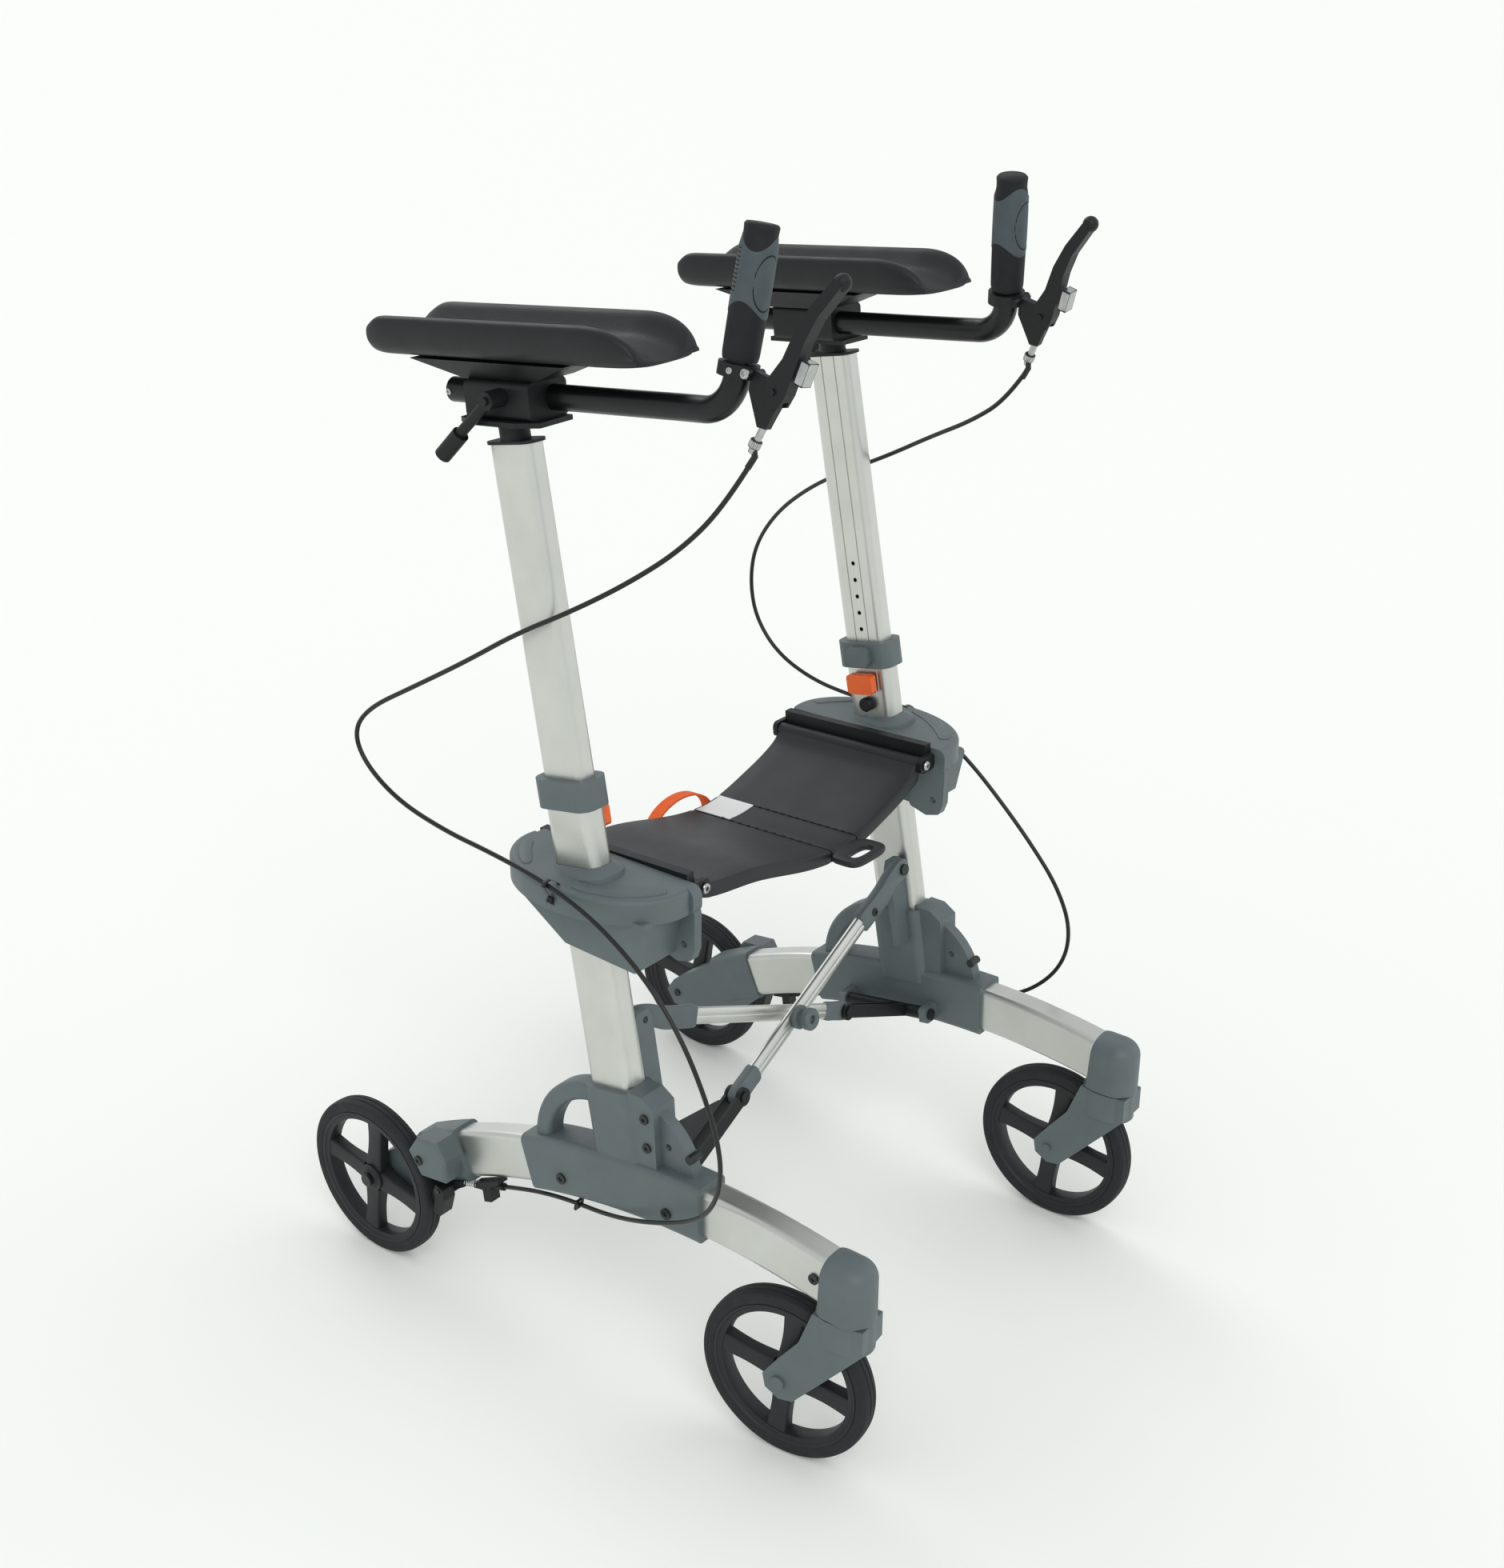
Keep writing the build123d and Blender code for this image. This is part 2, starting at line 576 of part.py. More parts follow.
def handlebar():
    """Black bent tube, open inside, closed by a plug with a screw at its rear end."""
    rear, corner, top = bar_points()
    straight = ARM.from_local_coords(Vector(0, -BAR_CORNER + 60, 0))
    path = FilletPolyline(rear, straight, corner, top, radius=[400, BAR_BEND_R])
    section = Plane(origin=rear, z_dir=path % 0) * (Circle(BAR_R) - Circle(BAR_R - BAR_WALL))
    tube = sweep(section, path=path)
    plug = ARM * (Pos(0, BAR_REAR + 1.5, 0) * (Rot(90, 0, 0) * Cylinder(BAR_R, 3)))
    return tube + plug


def grip():
    """Rubber grip with a closed top."""
    body = Pos(0, 0, GRIP_LENGTH / 2) * Cylinder(GRIP_R, GRIP_LENGTH)
    body = fillet(body.edges(), 3)
    bore = Pos(0, 0, (GRIP_LENGTH - 6) / 2) * Cylinder(BAR_R, GRIP_LENGTH - 6)
    return GRIP * (body - bore)


LEVER_PIVOT = (-46, -18)
RING_Z = -8.5


def grip_plate(points, x_low, x_high):
    """Plate drawn in the grip's (y, z), between two local values of x."""
    return Pos(x_low, 0, 0) * extrude(Plane.YZ * outline(points), x_high - x_low)


def lever_bracket():
    """Clamp ring and arm that carry the brake lever, with the cable adjuster's barrel and nut."""
    ring = Pos(0, 0, RING_Z) * (Cylinder(19, 12) - Cylinder(BAR_R, 20))
    arm = grip_plate([(-16, -4), (-16, -20), (-30, -46), (-33, -52), (-43, -52), (-46, -44), (-55, -22),
                      (-50, -10), (-40, -8)], -4, 4)
    arm -= Pos(0, 0, RING_Z) * Cylinder(18, 30)
    bolt = Pos(0, -17, RING_Z) * (Rot(0, 90, 0) * Cylinder(4, 26)) - Pos(0, 0, RING_Z) * Cylinder(18, 30)
    pivot = Pos(0, *LEVER_PIVOT) * (Rot(0, 90, 0) * Cylinder(3, 19))
    barrel = rod((0, -38, -51), (0, -29, -76), 3.2) + rod((0, -33, -64), (0, -30.6, -71), 5.5)
    solid = ring + arm + bolt
    return GRIP * Compound(children=[(solid + pivot).solid(), barrel.solid()])


def brake_lever():
    """Curved lever with a ball end, forked round the bracket, and its parking latch."""
    blade = [(-55, -30), (-60, -18), (-66, 10), (-70, 30), (-78, 52), (-98, 84), (-88, 88), (-70, 62),
             (-58, 38), (-50, 12), (-38, -8), (-37, -24), (-44, -33)]
    solid = grip_plate(blade, -7.5, 7.5)
    slot = [(-57, -54), (-57, -6), (-30, -2), (-30, -54)]
    solid -= grip_plate(slot, -4.2, 4.2)
    solid -= Pos(0, *LEVER_PIVOT) * (Rot(0, 90, 0) * Cylinder(3 + RUN_GAP, 30))
    solid += Pos(0, -93, 86) * Sphere(8)
    latch = Pos(0, -72.5, 4) * Rot(12, 0, 0) * Box(14, 9, 22)
    return GRIP * Compound(children=[solid.solid(), (latch - solid).solid()])


# ---------------------------------------------------------------- brake line

CABLE_ROUTE = {
    "right": [(231, -220, 1047), (238, -192, 1000), (250, -150, 953), (264, -96, 913), (279, -35, 876),
              (292, 30, 842), (302, 92, 802), (313, 160, 762), (322, 221, 727), (327, 243, 697),
              (328, 228, 664), (328, 180, 634), (326, 112, 618), (323, 50, 611), (322, -12, 602),
              (322, -68, 587), (327, -118, 569), (332, -168, 541), (336, -211, 500), (338, -243, 446),
              (337, -262, 388), (332, -257, 337), (321, -229, 288), (309, -184, 252), (302, -122, 222),
              (292, -66, 200), (285, -10, 188), (282, 28, 179), (281, 66, 168.7), (281, 104, 155.6)],
    "left": [(231, -220, 1047), (240, -190, 1008), (254, -138, 974), (269, -76, 944), (282, -10, 909),
             (294, 56, 878), (305, 120, 844), (314, 178, 800), (322, 218, 748), (328, 231, 696),
             (329, 222, 648), (328, 186, 608), (326, 128, 586), (324, 66, 580), (323, 0, 580),
             (323, -62, 570), (328, -112, 535), (333, -158, 490), (336, -200, 446), (338, -238, 400),
             (338, -260, 350), (333, -256, 302), (322, -226, 262), (309, -180, 238), (301, -122, 219),
             (292, -66, 200), (285, -10, 188), (282, 28, 179), (281, 66, 168.7), (281, 104, 155.6)],
}


def brake_cable(side):
    """Bowden cable from the lever's adjuster to the brake under the rail."""
    points = [Vector(*p) for p in CABLE_ROUTE[side]]
    radii = []
    for before, here, after in zip(points, points[1:], points[2:]):
        turn = radians((here - before).get_angle(after - here))
        shorter = min((here - before).length, (after - here).length)
        radii.append(0.45 * shorter / tan(turn / 2))
    path = FilletPolyline(*points, radius=radii)
    tube = sweep(Plane(origin=points[0], z_dir=path % 0) * Circle(CABLE_R), path=path)
    expected = pi * CABLE_R ** 2 * path.length
    print(f"{side} cable: length {path.length:.0f}, least radius {min(radii):.0f},",
          f"volume ratio {tube.volume / expected:.4f}")
    return tube


def brake_fittings():
    """Cable stop under the rail, its adjuster, the return spring's sleeve and the cable tie."""
    top_y, top_z = rail_point(140, -RAIL_HEIGHT / 2 - 0.2)
    stop = side_plate(outline([(top_y - 22, top_z + 8), (top_y + 20, top_z - 13), (top_y + 18, top_z - 18),
                               (top_y + 4, top_z - 15), (top_y + 2, top_z - 30), (top_y - 10, top_z - 26),
                               (top_y - 8, top_z - 8), (top_y - 24, top_z + 4)]), 274, 288)
    stop -= RAIL_SOLID
    stop -= rod((281, 90, 160.4), (281, 170, 132.8), 3.3)
    adjuster = rod((281, 104, 155.6), (281, 133, 145.6), 4.6)
    adjuster -= stop
    tie = Pos(285.8, -18, 190) * Rot(12, 0, 0) * Box(12, 3, 12)
    tie -= rod((290.6, -55, 197.6), (282.9, 7, 184.4), 4)
    return Compound(children=[stop.solid(), adjuster.solid(), tie.solid()])


def brake_shoe():
    """Rocking arm with the rubber block that presses on the tyre."""
    y, z = SHOE_PIVOT
    arm = [(y - 8, z + 4), (y + 3, z + 8), (y + 8, z - 2), (y + 6, z - 14), (y + 10, z - 33),
           (y - 2, z - 33), (y - 9, z - 10)]
    tail = [(y - 8, z - 4), (y - 5, z + 6), (y - 22, z + 14), (y - 26, z + 8)]
    arm = side_plate(outline(arm), *SHOE_X) + side_plate(outline(tail), 289.4, SHOE_X[0])
    arm -= x_rod(y, z, 3 + RUN_GAP, 270, 320)
    return arm - wheel_cut(WHEEL_R + 2, REAR_X, 40)


# ---------------------------------------------------------------- cross brace

def brace_angle():
    return degrees(atan2(PIVOT_DROP, 2 * PIVOT_X))


def arm_outline(length, upper, lower):
    """Flat bar with round ends, from its pivot along local -X."""
    bar = Pos(-length / 2, 0) * Rectangle(length, lower)
    head = Circle(upper / 2) + Pos(-34, 0) * Rectangle(68, upper) + Pos(-68, 0) * Circle(upper / 2)
    return bar + head + Pos(-length, 0) * Circle(lower / 2)


def brace_arm(name):
    """One diagonal of the brace, with its moulded upper fitting."""
    low, high = FRONT_ARM_W if name == "front" else REAR_ARM_W
    lower = 22 if name == "front" else 20
    flat = arm_outline(ARM_LENGTH, 25, lower)
    solid = Pos(0, 0, low) * extrude(flat, high - low)
    solid -= Pos(0, 0, low - 1) * extrude(Circle(PIN_R + RUN_GAP), high - low + 2)
    if name == "front":
        knob_x = -PIVOT_X / cos(radians(brace_angle()))
        knob = Pos(knob_x, 0, high + 11) * Cylinder(9, 22)
        knob += Pos(knob_x, 0, high + 3) * Cylinder(14, 6)
        knob += Pos(knob_x, 0, high + 17.5) * Cylinder(13, 9)
        solid += knob
    return brace_plane(PIVOT_X) * (Rot(0, 0, brace_angle()) * solid)


def brace_link(name):
    """Black lower link: long barrel on the housing's pin, two cheeks beside the arm's end."""
    low, high = FRONT_ARM_W if name == "front" else REAR_ARM_W
    barrel_low = LUG_REAR_W[1] + 0.5
    barrel_high = LUG_FRONT_W[0] - 0.5
    barrel = Pos(0, 0, (barrel_low + barrel_high) / 2) * Cylinder(8, barrel_high - barrel_low)
    cheek = Pos(LINK_LENGTH / 2, 0) * Rectangle(LINK_LENGTH, 15) + Pos(LINK_LENGTH, 0) * Circle(EYE_R)
    front_cheek = Pos(0, 0, high + 0.5) * extrude(cheek, 4)
    rear_cheek = Pos(0, 0, low - 4.5) * extrude(cheek, 4)
    web = outline([(0, barrel_low), (0, low - 1), (LINK_LENGTH - 14, low - 1), (LINK_LENGTH - 14, low - 10)])
    web = Pos(0, 3.5, 0) * extrude(Plane.XZ * web, 7)
    solid = barrel + front_cheek + rear_cheek + web
    for height in (high + 5.6, low - 5.6):
        solid += Pos(LINK_LENGTH, 0, height) * Cylinder(6.5, 2.2)
    solid -= Cylinder(PIN_R + RUN_GAP, 400)
    solid = Rot(0, 0, 180 - brace_angle()) * solid
    return brace_plane(PIVOT_X) * (Pos(0, -PIVOT_DROP, 0) * solid)


# ---------------------------------------------------------------- seat

def seat_section(x_low, x_high):
    """Slice of the sagging seat between two values of x, drawn in (x, z)."""
    top = Spline(*SEAT_LINE)
    bottom = Spline(*((x, z - SEAT_THICK) for x, z in reversed(SEAT_LINE)))
    band = make_face([top, bottom, Line(top @ 1, bottom @ 0), Line(bottom @ 1, top @ 0)])
    return band & Pos((x_low + x_high) / 2, STRIP_Z) * Rectangle(x_high - x_low, 300)


def seat_extrude(face, depth):
    return SEAT * (Pos(0, depth / 2, 0) * extrude(Plane.XZ * face, depth))


def seat_panel(side):
    """Moulded half of the seat with its hinge barrel; the right half is the longer one."""
    limits = (STRIP_X + STRIP_HALF + 0.3, SEAT_HINGE_X - 2)
    if side == "right":
        limits = (2 - SEAT_HINGE_X, STRIP_X - STRIP_HALF - 0.3)
    hinge = Pos(SEAT_HINGE_X if side == "left" else -SEAT_HINGE_X, SEAT_HINGE_Z)
    panel = seat_extrude(seat_section(*limits), SEAT_DEPTH)
    barrel = seat_extrude(hinge * Circle(8), SEAT_DEPTH)
    return panel + barrel - seat_extrude(hinge * Circle(3 + RUN_GAP), SEAT_DEPTH + 2)


def seat_centre():
    """Strip between the seat halves, with the pull handle in front of it."""
    strip = seat_extrude(seat_section(STRIP_X - STRIP_HALF + 0.3, STRIP_X + STRIP_HALF - 0.3), SEAT_DEPTH)
    y_front = -SEAT_DEPTH / 2
    loop = Pos(0, y_front - 21) * (RectangleRounded(66, 41, 15) - Pos(0, -3) * SlotOverall(38, 15))
    neck = Pos(0, y_front + 3) * Rectangle(40, 20)
    handle = Pos(STRIP_X, 0, STRIP_Z - 11) * extrude(loop + neck, 8)
    return strip + SEAT * handle


STRAP_X = 14
STRAP_HALF = 54
STRAP_RISE = 36


def lift_strap():
    """Webbing loop behind the seat that lifts it to fold the frame; its tail runs under the strip."""
    foot = STRIP_Z - SEAT_THICK - 2
    outer = Pos(STRAP_X, foot) * Ellipse(STRAP_HALF, STRAP_RISE)
    inner = Pos(STRAP_X, foot) * Ellipse(STRAP_HALF - 2, STRAP_RISE - 2)
    arch = (outer - inner) & Pos(STRAP_X, foot + 100) * Rectangle(300, 200)
    base = Pos(STRAP_X, foot - 0.9) * Rectangle(2 * STRAP_HALF, 1.8)
    loop = Pos(0, SEAT_DEPTH / 2 + 18, 0) * extrude(Plane.XZ * (arch + base), 16)
    tail = Pos(STRIP_X, SEAT_DEPTH / 2 - 4, foot - 0.9) * Box(16, 44, 1.8)
    return SEAT * (loop + tail)


# ---------------------------------------------------------------- writing the sub-parts

SIDE_PARTS = {
    "rail": rail, "joint_housing": joint_housing, "lower_upright": lower_upright,
    "height_collar": height_collar, "seat_bracket": seat_bracket, "seat_hinge_bar": seat_hinge_bar,
    "rear_wheel_bracket": rear_wheel_bracket, "caster_head": caster_head, "upper_upright": upper_upright,
    "arm_post": arm_post, "release_button": release_button, "clamp_block": clamp_block,
    "pad_base": pad_base, "arm_pad": arm_pad, "clamp_lever": clamp_lever, "handlebar": handlebar,
    "grip": grip, "lever_bracket": lever_bracket, "brake_lever": brake_lever, "brake_shoe": brake_shoe,
    "brake_fittings": brake_fittings,
}


def main():
    for name, make in SIDE_PARTS.items():
        solid = make()
        for side in ("left", "right"):
            save(name, solid, side)
    fasteners = frame_fasteners()
    rear = wheel(REAR_X, REAR_Y)
    front = wheel(CASTER_X, CASTER_Y + CASTER_TRAIL)
    fork = caster_fork()
    for side in ("left", "right"):
        save("frame_fasteners", Compound(children=fasteners + [upper_pin(side)]), side)
        save("rear_wheel", rear, side)
        turned = caster_location(side)
        save("front_wheel", turned * front, side)
        save("caster_fork", turned * fork, side)
        save("brake_cable", brake_cable(side), side)
    save("brace_arm_front", brace_arm("front"))
    save("brace_arm_rear", mirror(brace_arm("rear"), about=Plane.YZ))
    save("brace_link_front", mirror(brace_link("front"), about=Plane.YZ))
    save("brace_link_rear", brace_link("rear"))
    for side in ("left", "right"):
        save(f"{side}_seat_panel", seat_panel(side))
    save("seat_centre", seat_centre())
    save("lift_strap", lift_strap())


main()
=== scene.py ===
import json
from math import atan2, cos, pi, radians, sin, tau

import bmesh
import bpy
from mathutils import Matrix, Vector


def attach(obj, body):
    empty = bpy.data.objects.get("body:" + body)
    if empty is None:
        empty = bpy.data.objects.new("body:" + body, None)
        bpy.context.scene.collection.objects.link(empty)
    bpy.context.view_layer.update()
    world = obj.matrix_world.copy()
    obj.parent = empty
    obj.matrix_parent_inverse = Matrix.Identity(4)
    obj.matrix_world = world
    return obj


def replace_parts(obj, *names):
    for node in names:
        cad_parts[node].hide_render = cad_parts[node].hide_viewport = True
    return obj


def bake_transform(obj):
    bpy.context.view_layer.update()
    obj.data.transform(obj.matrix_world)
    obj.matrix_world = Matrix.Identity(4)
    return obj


bl_info = {
    "name": "Forearm support rollator",
    "version": (1, 0, 0),
    "blender": (4, 5, 0),
    "location": "3D View > Sidebar > Rollator",
    "description": "Soft parts, wheels, cables and finishes of a folding forearm-support rollator",
    "category": "Object",
}

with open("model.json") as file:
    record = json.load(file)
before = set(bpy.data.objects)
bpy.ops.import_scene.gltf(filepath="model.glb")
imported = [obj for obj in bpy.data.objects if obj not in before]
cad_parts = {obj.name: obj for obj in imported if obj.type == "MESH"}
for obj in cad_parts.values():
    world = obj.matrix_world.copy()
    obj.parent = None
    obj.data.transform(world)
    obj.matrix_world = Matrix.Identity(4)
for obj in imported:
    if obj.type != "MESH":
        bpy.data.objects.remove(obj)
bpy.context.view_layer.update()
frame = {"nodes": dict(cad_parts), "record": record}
JOINTS = {joint["name"]: joint for joint in frame["record"]["behaviour"]["joints"]}
MM = 0.001
SIDES = ("left", "right")
BRACE_RISE, BRACE_RUN = 190.7, 460
POST_LENGTH = 710 * MM


# ---- places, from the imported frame

def joint_place(name):
    """Position of a hinge at rest, in metres."""
    return Vector(JOINTS[name]["pos_m"])


def joint_axis(name):
    """Unit direction that a joint turns about or slides along."""
    return Vector(JOINTS[name]["axis"]).normalized()


def frame_at(across, along, up, origin):
    """Matrix of a frame from its three axes and its origin."""
    return Matrix.Translation(origin) @ Matrix((across, along, up)).transposed().to_4x4()


def arm_frame():
    """Frame of the left forearm support: x outwards, y backwards along the bar, z up."""
    out = joint_axis("left_clamp_turn")
    back = joint_axis("left_handlebar_reach")
    up = out.cross(back)
    hub = Vector((45, -6, 4)) * MM
    origin = joint_place("left_clamp_turn") - out * hub.x - back * hub.y - up * hub.z
    return frame_at(out, back, up, origin)


def grip_frame():
    """Frame at the foot of the left grip: z up the grip, x outwards, y backwards."""
    out = -joint_axis("left_brake_squeeze")
    lean = Vector((-18.1, -11, 116)).normalized()
    up = (lean - out * lean.dot(out)).normalized()
    back = up.cross(out)
    pivot = Vector((0, -46, -18)) * MM
    return frame_at(out, back, up, joint_place("left_brake_squeeze") - back * pivot.y - up * pivot.z)


def post_frame():
    """Frame of the left upright: z along the tube, x outwards, y backwards."""
    up = joint_axis("left_height")
    out = joint_axis("left_release_press")
    return frame_at(out, up.cross(out), up, joint_place("left_arm_swivel") - up * POST_LENGTH)


def brace_frame():
    """Frame of a diagonal of the brace at its upper pin: -x down the arm, z forwards."""
    across = Vector((1, 0, 0))
    forward = -joint_axis("brace_arm_front_turn")
    flat = frame_at(across, forward.cross(across), forward, joint_place("brace_arm_front_turn"))
    return flat @ Matrix.Rotation(atan2(BRACE_RISE, BRACE_RUN), 4, "Z")


ARM = arm_frame()
GRIP = grip_frame()
POST = post_frame()
BRACE = brace_frame()


# ---- colours and materials

COLOUR_A, COLOUR_B, COLOUR_RESULT = 6, 7, 2


def linear(hex_colour):
    """Linear colour with alpha from an sRGB hex value."""
    parts = [int(hex_colour[i:i + 2], 16) / 255 for i in (0, 2, 4)]
    return tuple(c / 12.92 if c <= 0.04045 else ((c + 0.055) / 1.055) ** 2.4 for c in parts) + (1.0,)


def add_node(tree, kind, settings=None, links=None):
    """Add a node, set its attributes and sockets, and link sockets to it."""
    node = tree.nodes.new(kind)
    for key, value in (settings or {}).items():
        if isinstance(key, str) and hasattr(node, key):
            setattr(node, key, value)
        else:
            node.inputs[key].default_value = value
    for key, source in (links or {}).items():
        tree.links.new(source, node.inputs[key])
    return node


def start_material(name, roughness, metallic=0.0, **sockets):
    """Material with a shader on its own sockets and Object coordinates to hand."""
    material = bpy.data.materials.new(name)
    material.use_nodes = True
    tree = material.node_tree
    shader = tree.nodes["Principled BSDF"]
    shader.inputs["Roughness"].default_value = roughness
    shader.inputs["Metallic"].default_value = metallic
    for key, value in sockets.items():
        shader.inputs[key.replace("_", " ")].default_value = value
    place = add_node(tree, "ShaderNodeTexCoord")
    return material, tree, shader, place.outputs["Object"]


def mottle(tree, shader, coords, dark, light, size_mm):
    """Slow drift between two close hex colours, as a moulding or a casting has."""
    noise = add_node(tree, "ShaderNodeTexNoise", {"Scale": 1000 / size_mm, "Detail": 3.0}, {"Vector": coords})
    colours = {"data_type": "RGBA", COLOUR_A: linear(dark), COLOUR_B: linear(light)}
    mix = add_node(tree, "ShaderNodeMix", colours, {"Factor": noise.outputs["Fac"]})
    tree.links.new(mix.outputs[COLOUR_RESULT], shader.inputs["Base Color"])


def uneven_gloss(tree, shader, coords, low, high, size_mm):
    """Roughness that drifts between two values, from handling and moulding."""
    noise = add_node(tree, "ShaderNodeTexNoise", {"Scale": 1000 / size_mm, "Detail": 4.0}, {"Vector": coords})
    gloss_from(tree, shader, noise.outputs["Fac"], low, high)


def gloss_from(tree, shader, pattern, low, high):
    """Roughness between two values, after a pattern."""
    spread = add_node(tree, "ShaderNodeMapRange", {"To Min": low, "To Max": high}, {"Value": pattern})
    tree.links.new(spread.outputs["Result"], shader.inputs["Roughness"])


def raise_surface(tree, shader, height, depth_mm, strength):
    """Relief of a depth, after a pattern."""
    bump = add_node(tree, "ShaderNodeBump", {"Distance": depth_mm * MM, "Strength": strength},
                    {"Height": height})
    tree.links.new(bump.outputs["Normal"], shader.inputs["Normal"])


def fine_grain(tree, shader, coords, grain_mm, detail, depth_mm, strength):
    """Even grain of a mould or a coat. A real mould's is under 0.5 mm, and is drawn coarser to show."""
    grain = add_node(tree, "ShaderNodeTexNoise", {"Scale": 1000 / grain_mm, "Detail": detail},
                     {"Vector": coords})
    raise_surface(tree, shader, grain.outputs["Fac"], depth_mm, strength)


def leather_pebble(tree, shader, coords, pebble_mm, depth_mm, strength):
    """Rounded pebbles of an etched mould, as leather has."""
    pebble = add_node(tree, "ShaderNodeTexVoronoi", {"Scale": 1000 / pebble_mm, "feature": "SMOOTH_F1"},
                      {"Vector": coords})
    raise_surface(tree, shader, pebble.outputs["Distance"], depth_mm, strength)


def grained_nylon(name, dark, light, grain_mm=1.1, depth_mm=0.12, shine=0.45):
    """Glass-filled nylon, moulded in a spark-eroded tool: matt, with a fine even grain."""
    material, tree, shader, coords = start_material(name, 0.5, IOR=1.53, Specular_IOR_Level=shine)
    mottle(tree, shader, coords, dark, light, 40)
    uneven_gloss(tree, shader, coords, 0.42, 0.58, 18)
    fine_grain(tree, shader, coords, grain_mm, 2.0, depth_mm, 0.6)
    return material


def anodised_aluminium():
    """Extruded tube, satin anodised: soft wide highlights and faint lines along the extrusion.

    The die lines are drawn 0.7 mm apart, coarser than the real ones, so that they show.
    """
    material, tree, shader, coords = start_material("anodised_aluminium", 0.36, 1.0)
    mottle(tree, shader, coords, "C2C4BF", "D6D8D3", 60)
    stretch = add_node(tree, "ShaderNodeMapping", {"Scale": (1.0, 0.02, 0.02)}, {"Vector": coords})
    lines = add_node(tree, "ShaderNodeTexNoise", {"Scale": 1400.0, "Detail": 3.0},
                     {"Vector": stretch.outputs[0]})
    gloss_from(tree, shader, lines.outputs["Fac"], 0.3, 0.44)
    raise_surface(tree, shader, lines.outputs["Fac"], 0.02, 0.35)
    return material


def skinned_foam():
    """Self-skinned polyurethane foam: satin, with a leathery pebble from the mould."""
    material, tree, shader, coords = start_material("skinned_polyurethane_foam", 0.5, IOR=1.5,
                                                    Specular_IOR_Level=0.34)
    mottle(tree, shader, coords, "111516", "1A1F20", 30)
    uneven_gloss(tree, shader, coords, 0.4, 0.56, 25)
    leather_pebble(tree, shader, coords, 2.4, 0.25, 0.45)
    return material


def powder_coat():
    """Satin black powder coat on steel tube: a faint orange-peel."""
    material, tree, shader, coords = start_material("black_powder_coat", 0.32, IOR=1.5,
                                                    Specular_IOR_Level=0.35)
    mottle(tree, shader, coords, "0B0C0D", "121415", 50)
    fine_grain(tree, shader, coords, 1.6, 1.0, 0.06, 0.4)
    return material


def moulded_rubber(name, dark, light, grain_mm, low, high):
    """Moulded elastomer: dull, with a fine grain and scuffed, paler patches."""
    material, tree, shader, coords = start_material(name, 0.65, IOR=1.52, Specular_IOR_Level=0.3)
    mottle(tree, shader, coords, dark, light, 14)
    uneven_gloss(tree, shader, coords, low, high, 9)
    fine_grain(tree, shader, coords, grain_mm, 3.0, 0.15, 0.6)
    return material


def zinc_plate():
    """Bright zinc-plated steel: cloudy reflections."""
    material, tree, shader, coords = start_material("zinc_plated_steel", 0.3, 1.0)
    mottle(tree, shader, coords, "9FA3A3", "C4C6C4", 5)
    uneven_gloss(tree, shader, coords, 0.2, 0.4, 4)
    return material


def gloss_plastic(name, dark, light, low=0.2, high=0.34):
    """Injection-moulded plastic from a polished tool."""
    material, tree, shader, coords = start_material(name, 0.28, IOR=1.5, Specular_IOR_Level=0.4)
    mottle(tree, shader, coords, dark, light, 25)
    uneven_gloss(tree, shader, coords, low, high, 12)
    return material


def satin_seat_panel():
    """Blow-moulded polyethylene seat: satin, with a shallow leathery grain and a few rubbed patches."""
    material, tree, shader, coords = start_material("blow_moulded_seat_panel", 0.5, IOR=1.51,
                                                    Specular_IOR_Level=0.3)
    mottle(tree, shader, coords, "1B1E20", "25292B", 70)
    uneven_gloss(tree, shader, coords, 0.4, 0.56, 35)
    leather_pebble(tree, shader, coords, 1.6, 0.12, 0.4)
    return material


def woven_webbing():
    """Polypropylene webbing: ribs across its width every 1.6 mm."""
    material, tree, shader, coords = start_material("polypropylene_webbing", 0.75, IOR=1.49)
    mottle(tree, shader, coords, "D94F12", "F26A1E", 6)
    ribs = add_node(tree, "ShaderNodeTexWave", {"Scale": 1000 / 1.6 / tau, "bands_direction": "Z"},
                    {"Vector": coords})
    raise_surface(tree, shader, ribs.outputs["Fac"], 0.3, 0.8)
    return material


def label_film():
    """Blank printed label under clear film."""
    material, tree, shader, coords = start_material("label_film", 0.35, IOR=1.5)
    mottle(tree, shader, coords, "D4D6D4", "DEE0DE", 20)
    return material


MAKERS = {
    "plastic_grey": lambda: grained_nylon("glass_filled_nylon_grey", "515B5D", "5E696B"),
    "plastic_black": lambda: grained_nylon("moulded_nylon_black", "0E1112", "171A1C", 0.9, 0.08, 0.3),
    "alu": anodised_aluminium,
    "pad_foam": skinned_foam,
    "bar_black": powder_coat,
    "grip_rubber": lambda: moulded_rubber("moulded_grip_rubber", "0F1214", "181C1E", 0.9, 0.55, 0.72),
    "orange": lambda: gloss_plastic("polished_orange_nylon", "DE5510", "F06A20"),
    "steel": zinc_plate,
    "black_screws": lambda: gloss_plastic("black_oxide_steel", "17191A", "232627", 0.3, 0.45),
    "cable_black": lambda: gloss_plastic("extruded_cable_jacket", "0D0E0F", "17191A", 0.28, 0.4),
    "wheel": lambda: moulded_rubber("soft_tyre_rubber", "1A1D1E", "26292B", 1.4, 0.6, 0.8),
    "seat": satin_seat_panel,
    "strap": woven_webbing,
    "wheel_core": lambda: grained_nylon("moulded_wheel_nylon", "171A1C", "212527", 1.1, 0.12, 0.32),
    "grip_overlay": lambda: moulded_rubber("soft_touch_overlay", "414A4E", "4C565A", 0.8, 0.5, 0.66),
    "label": label_film,
}
MATERIALS = {}


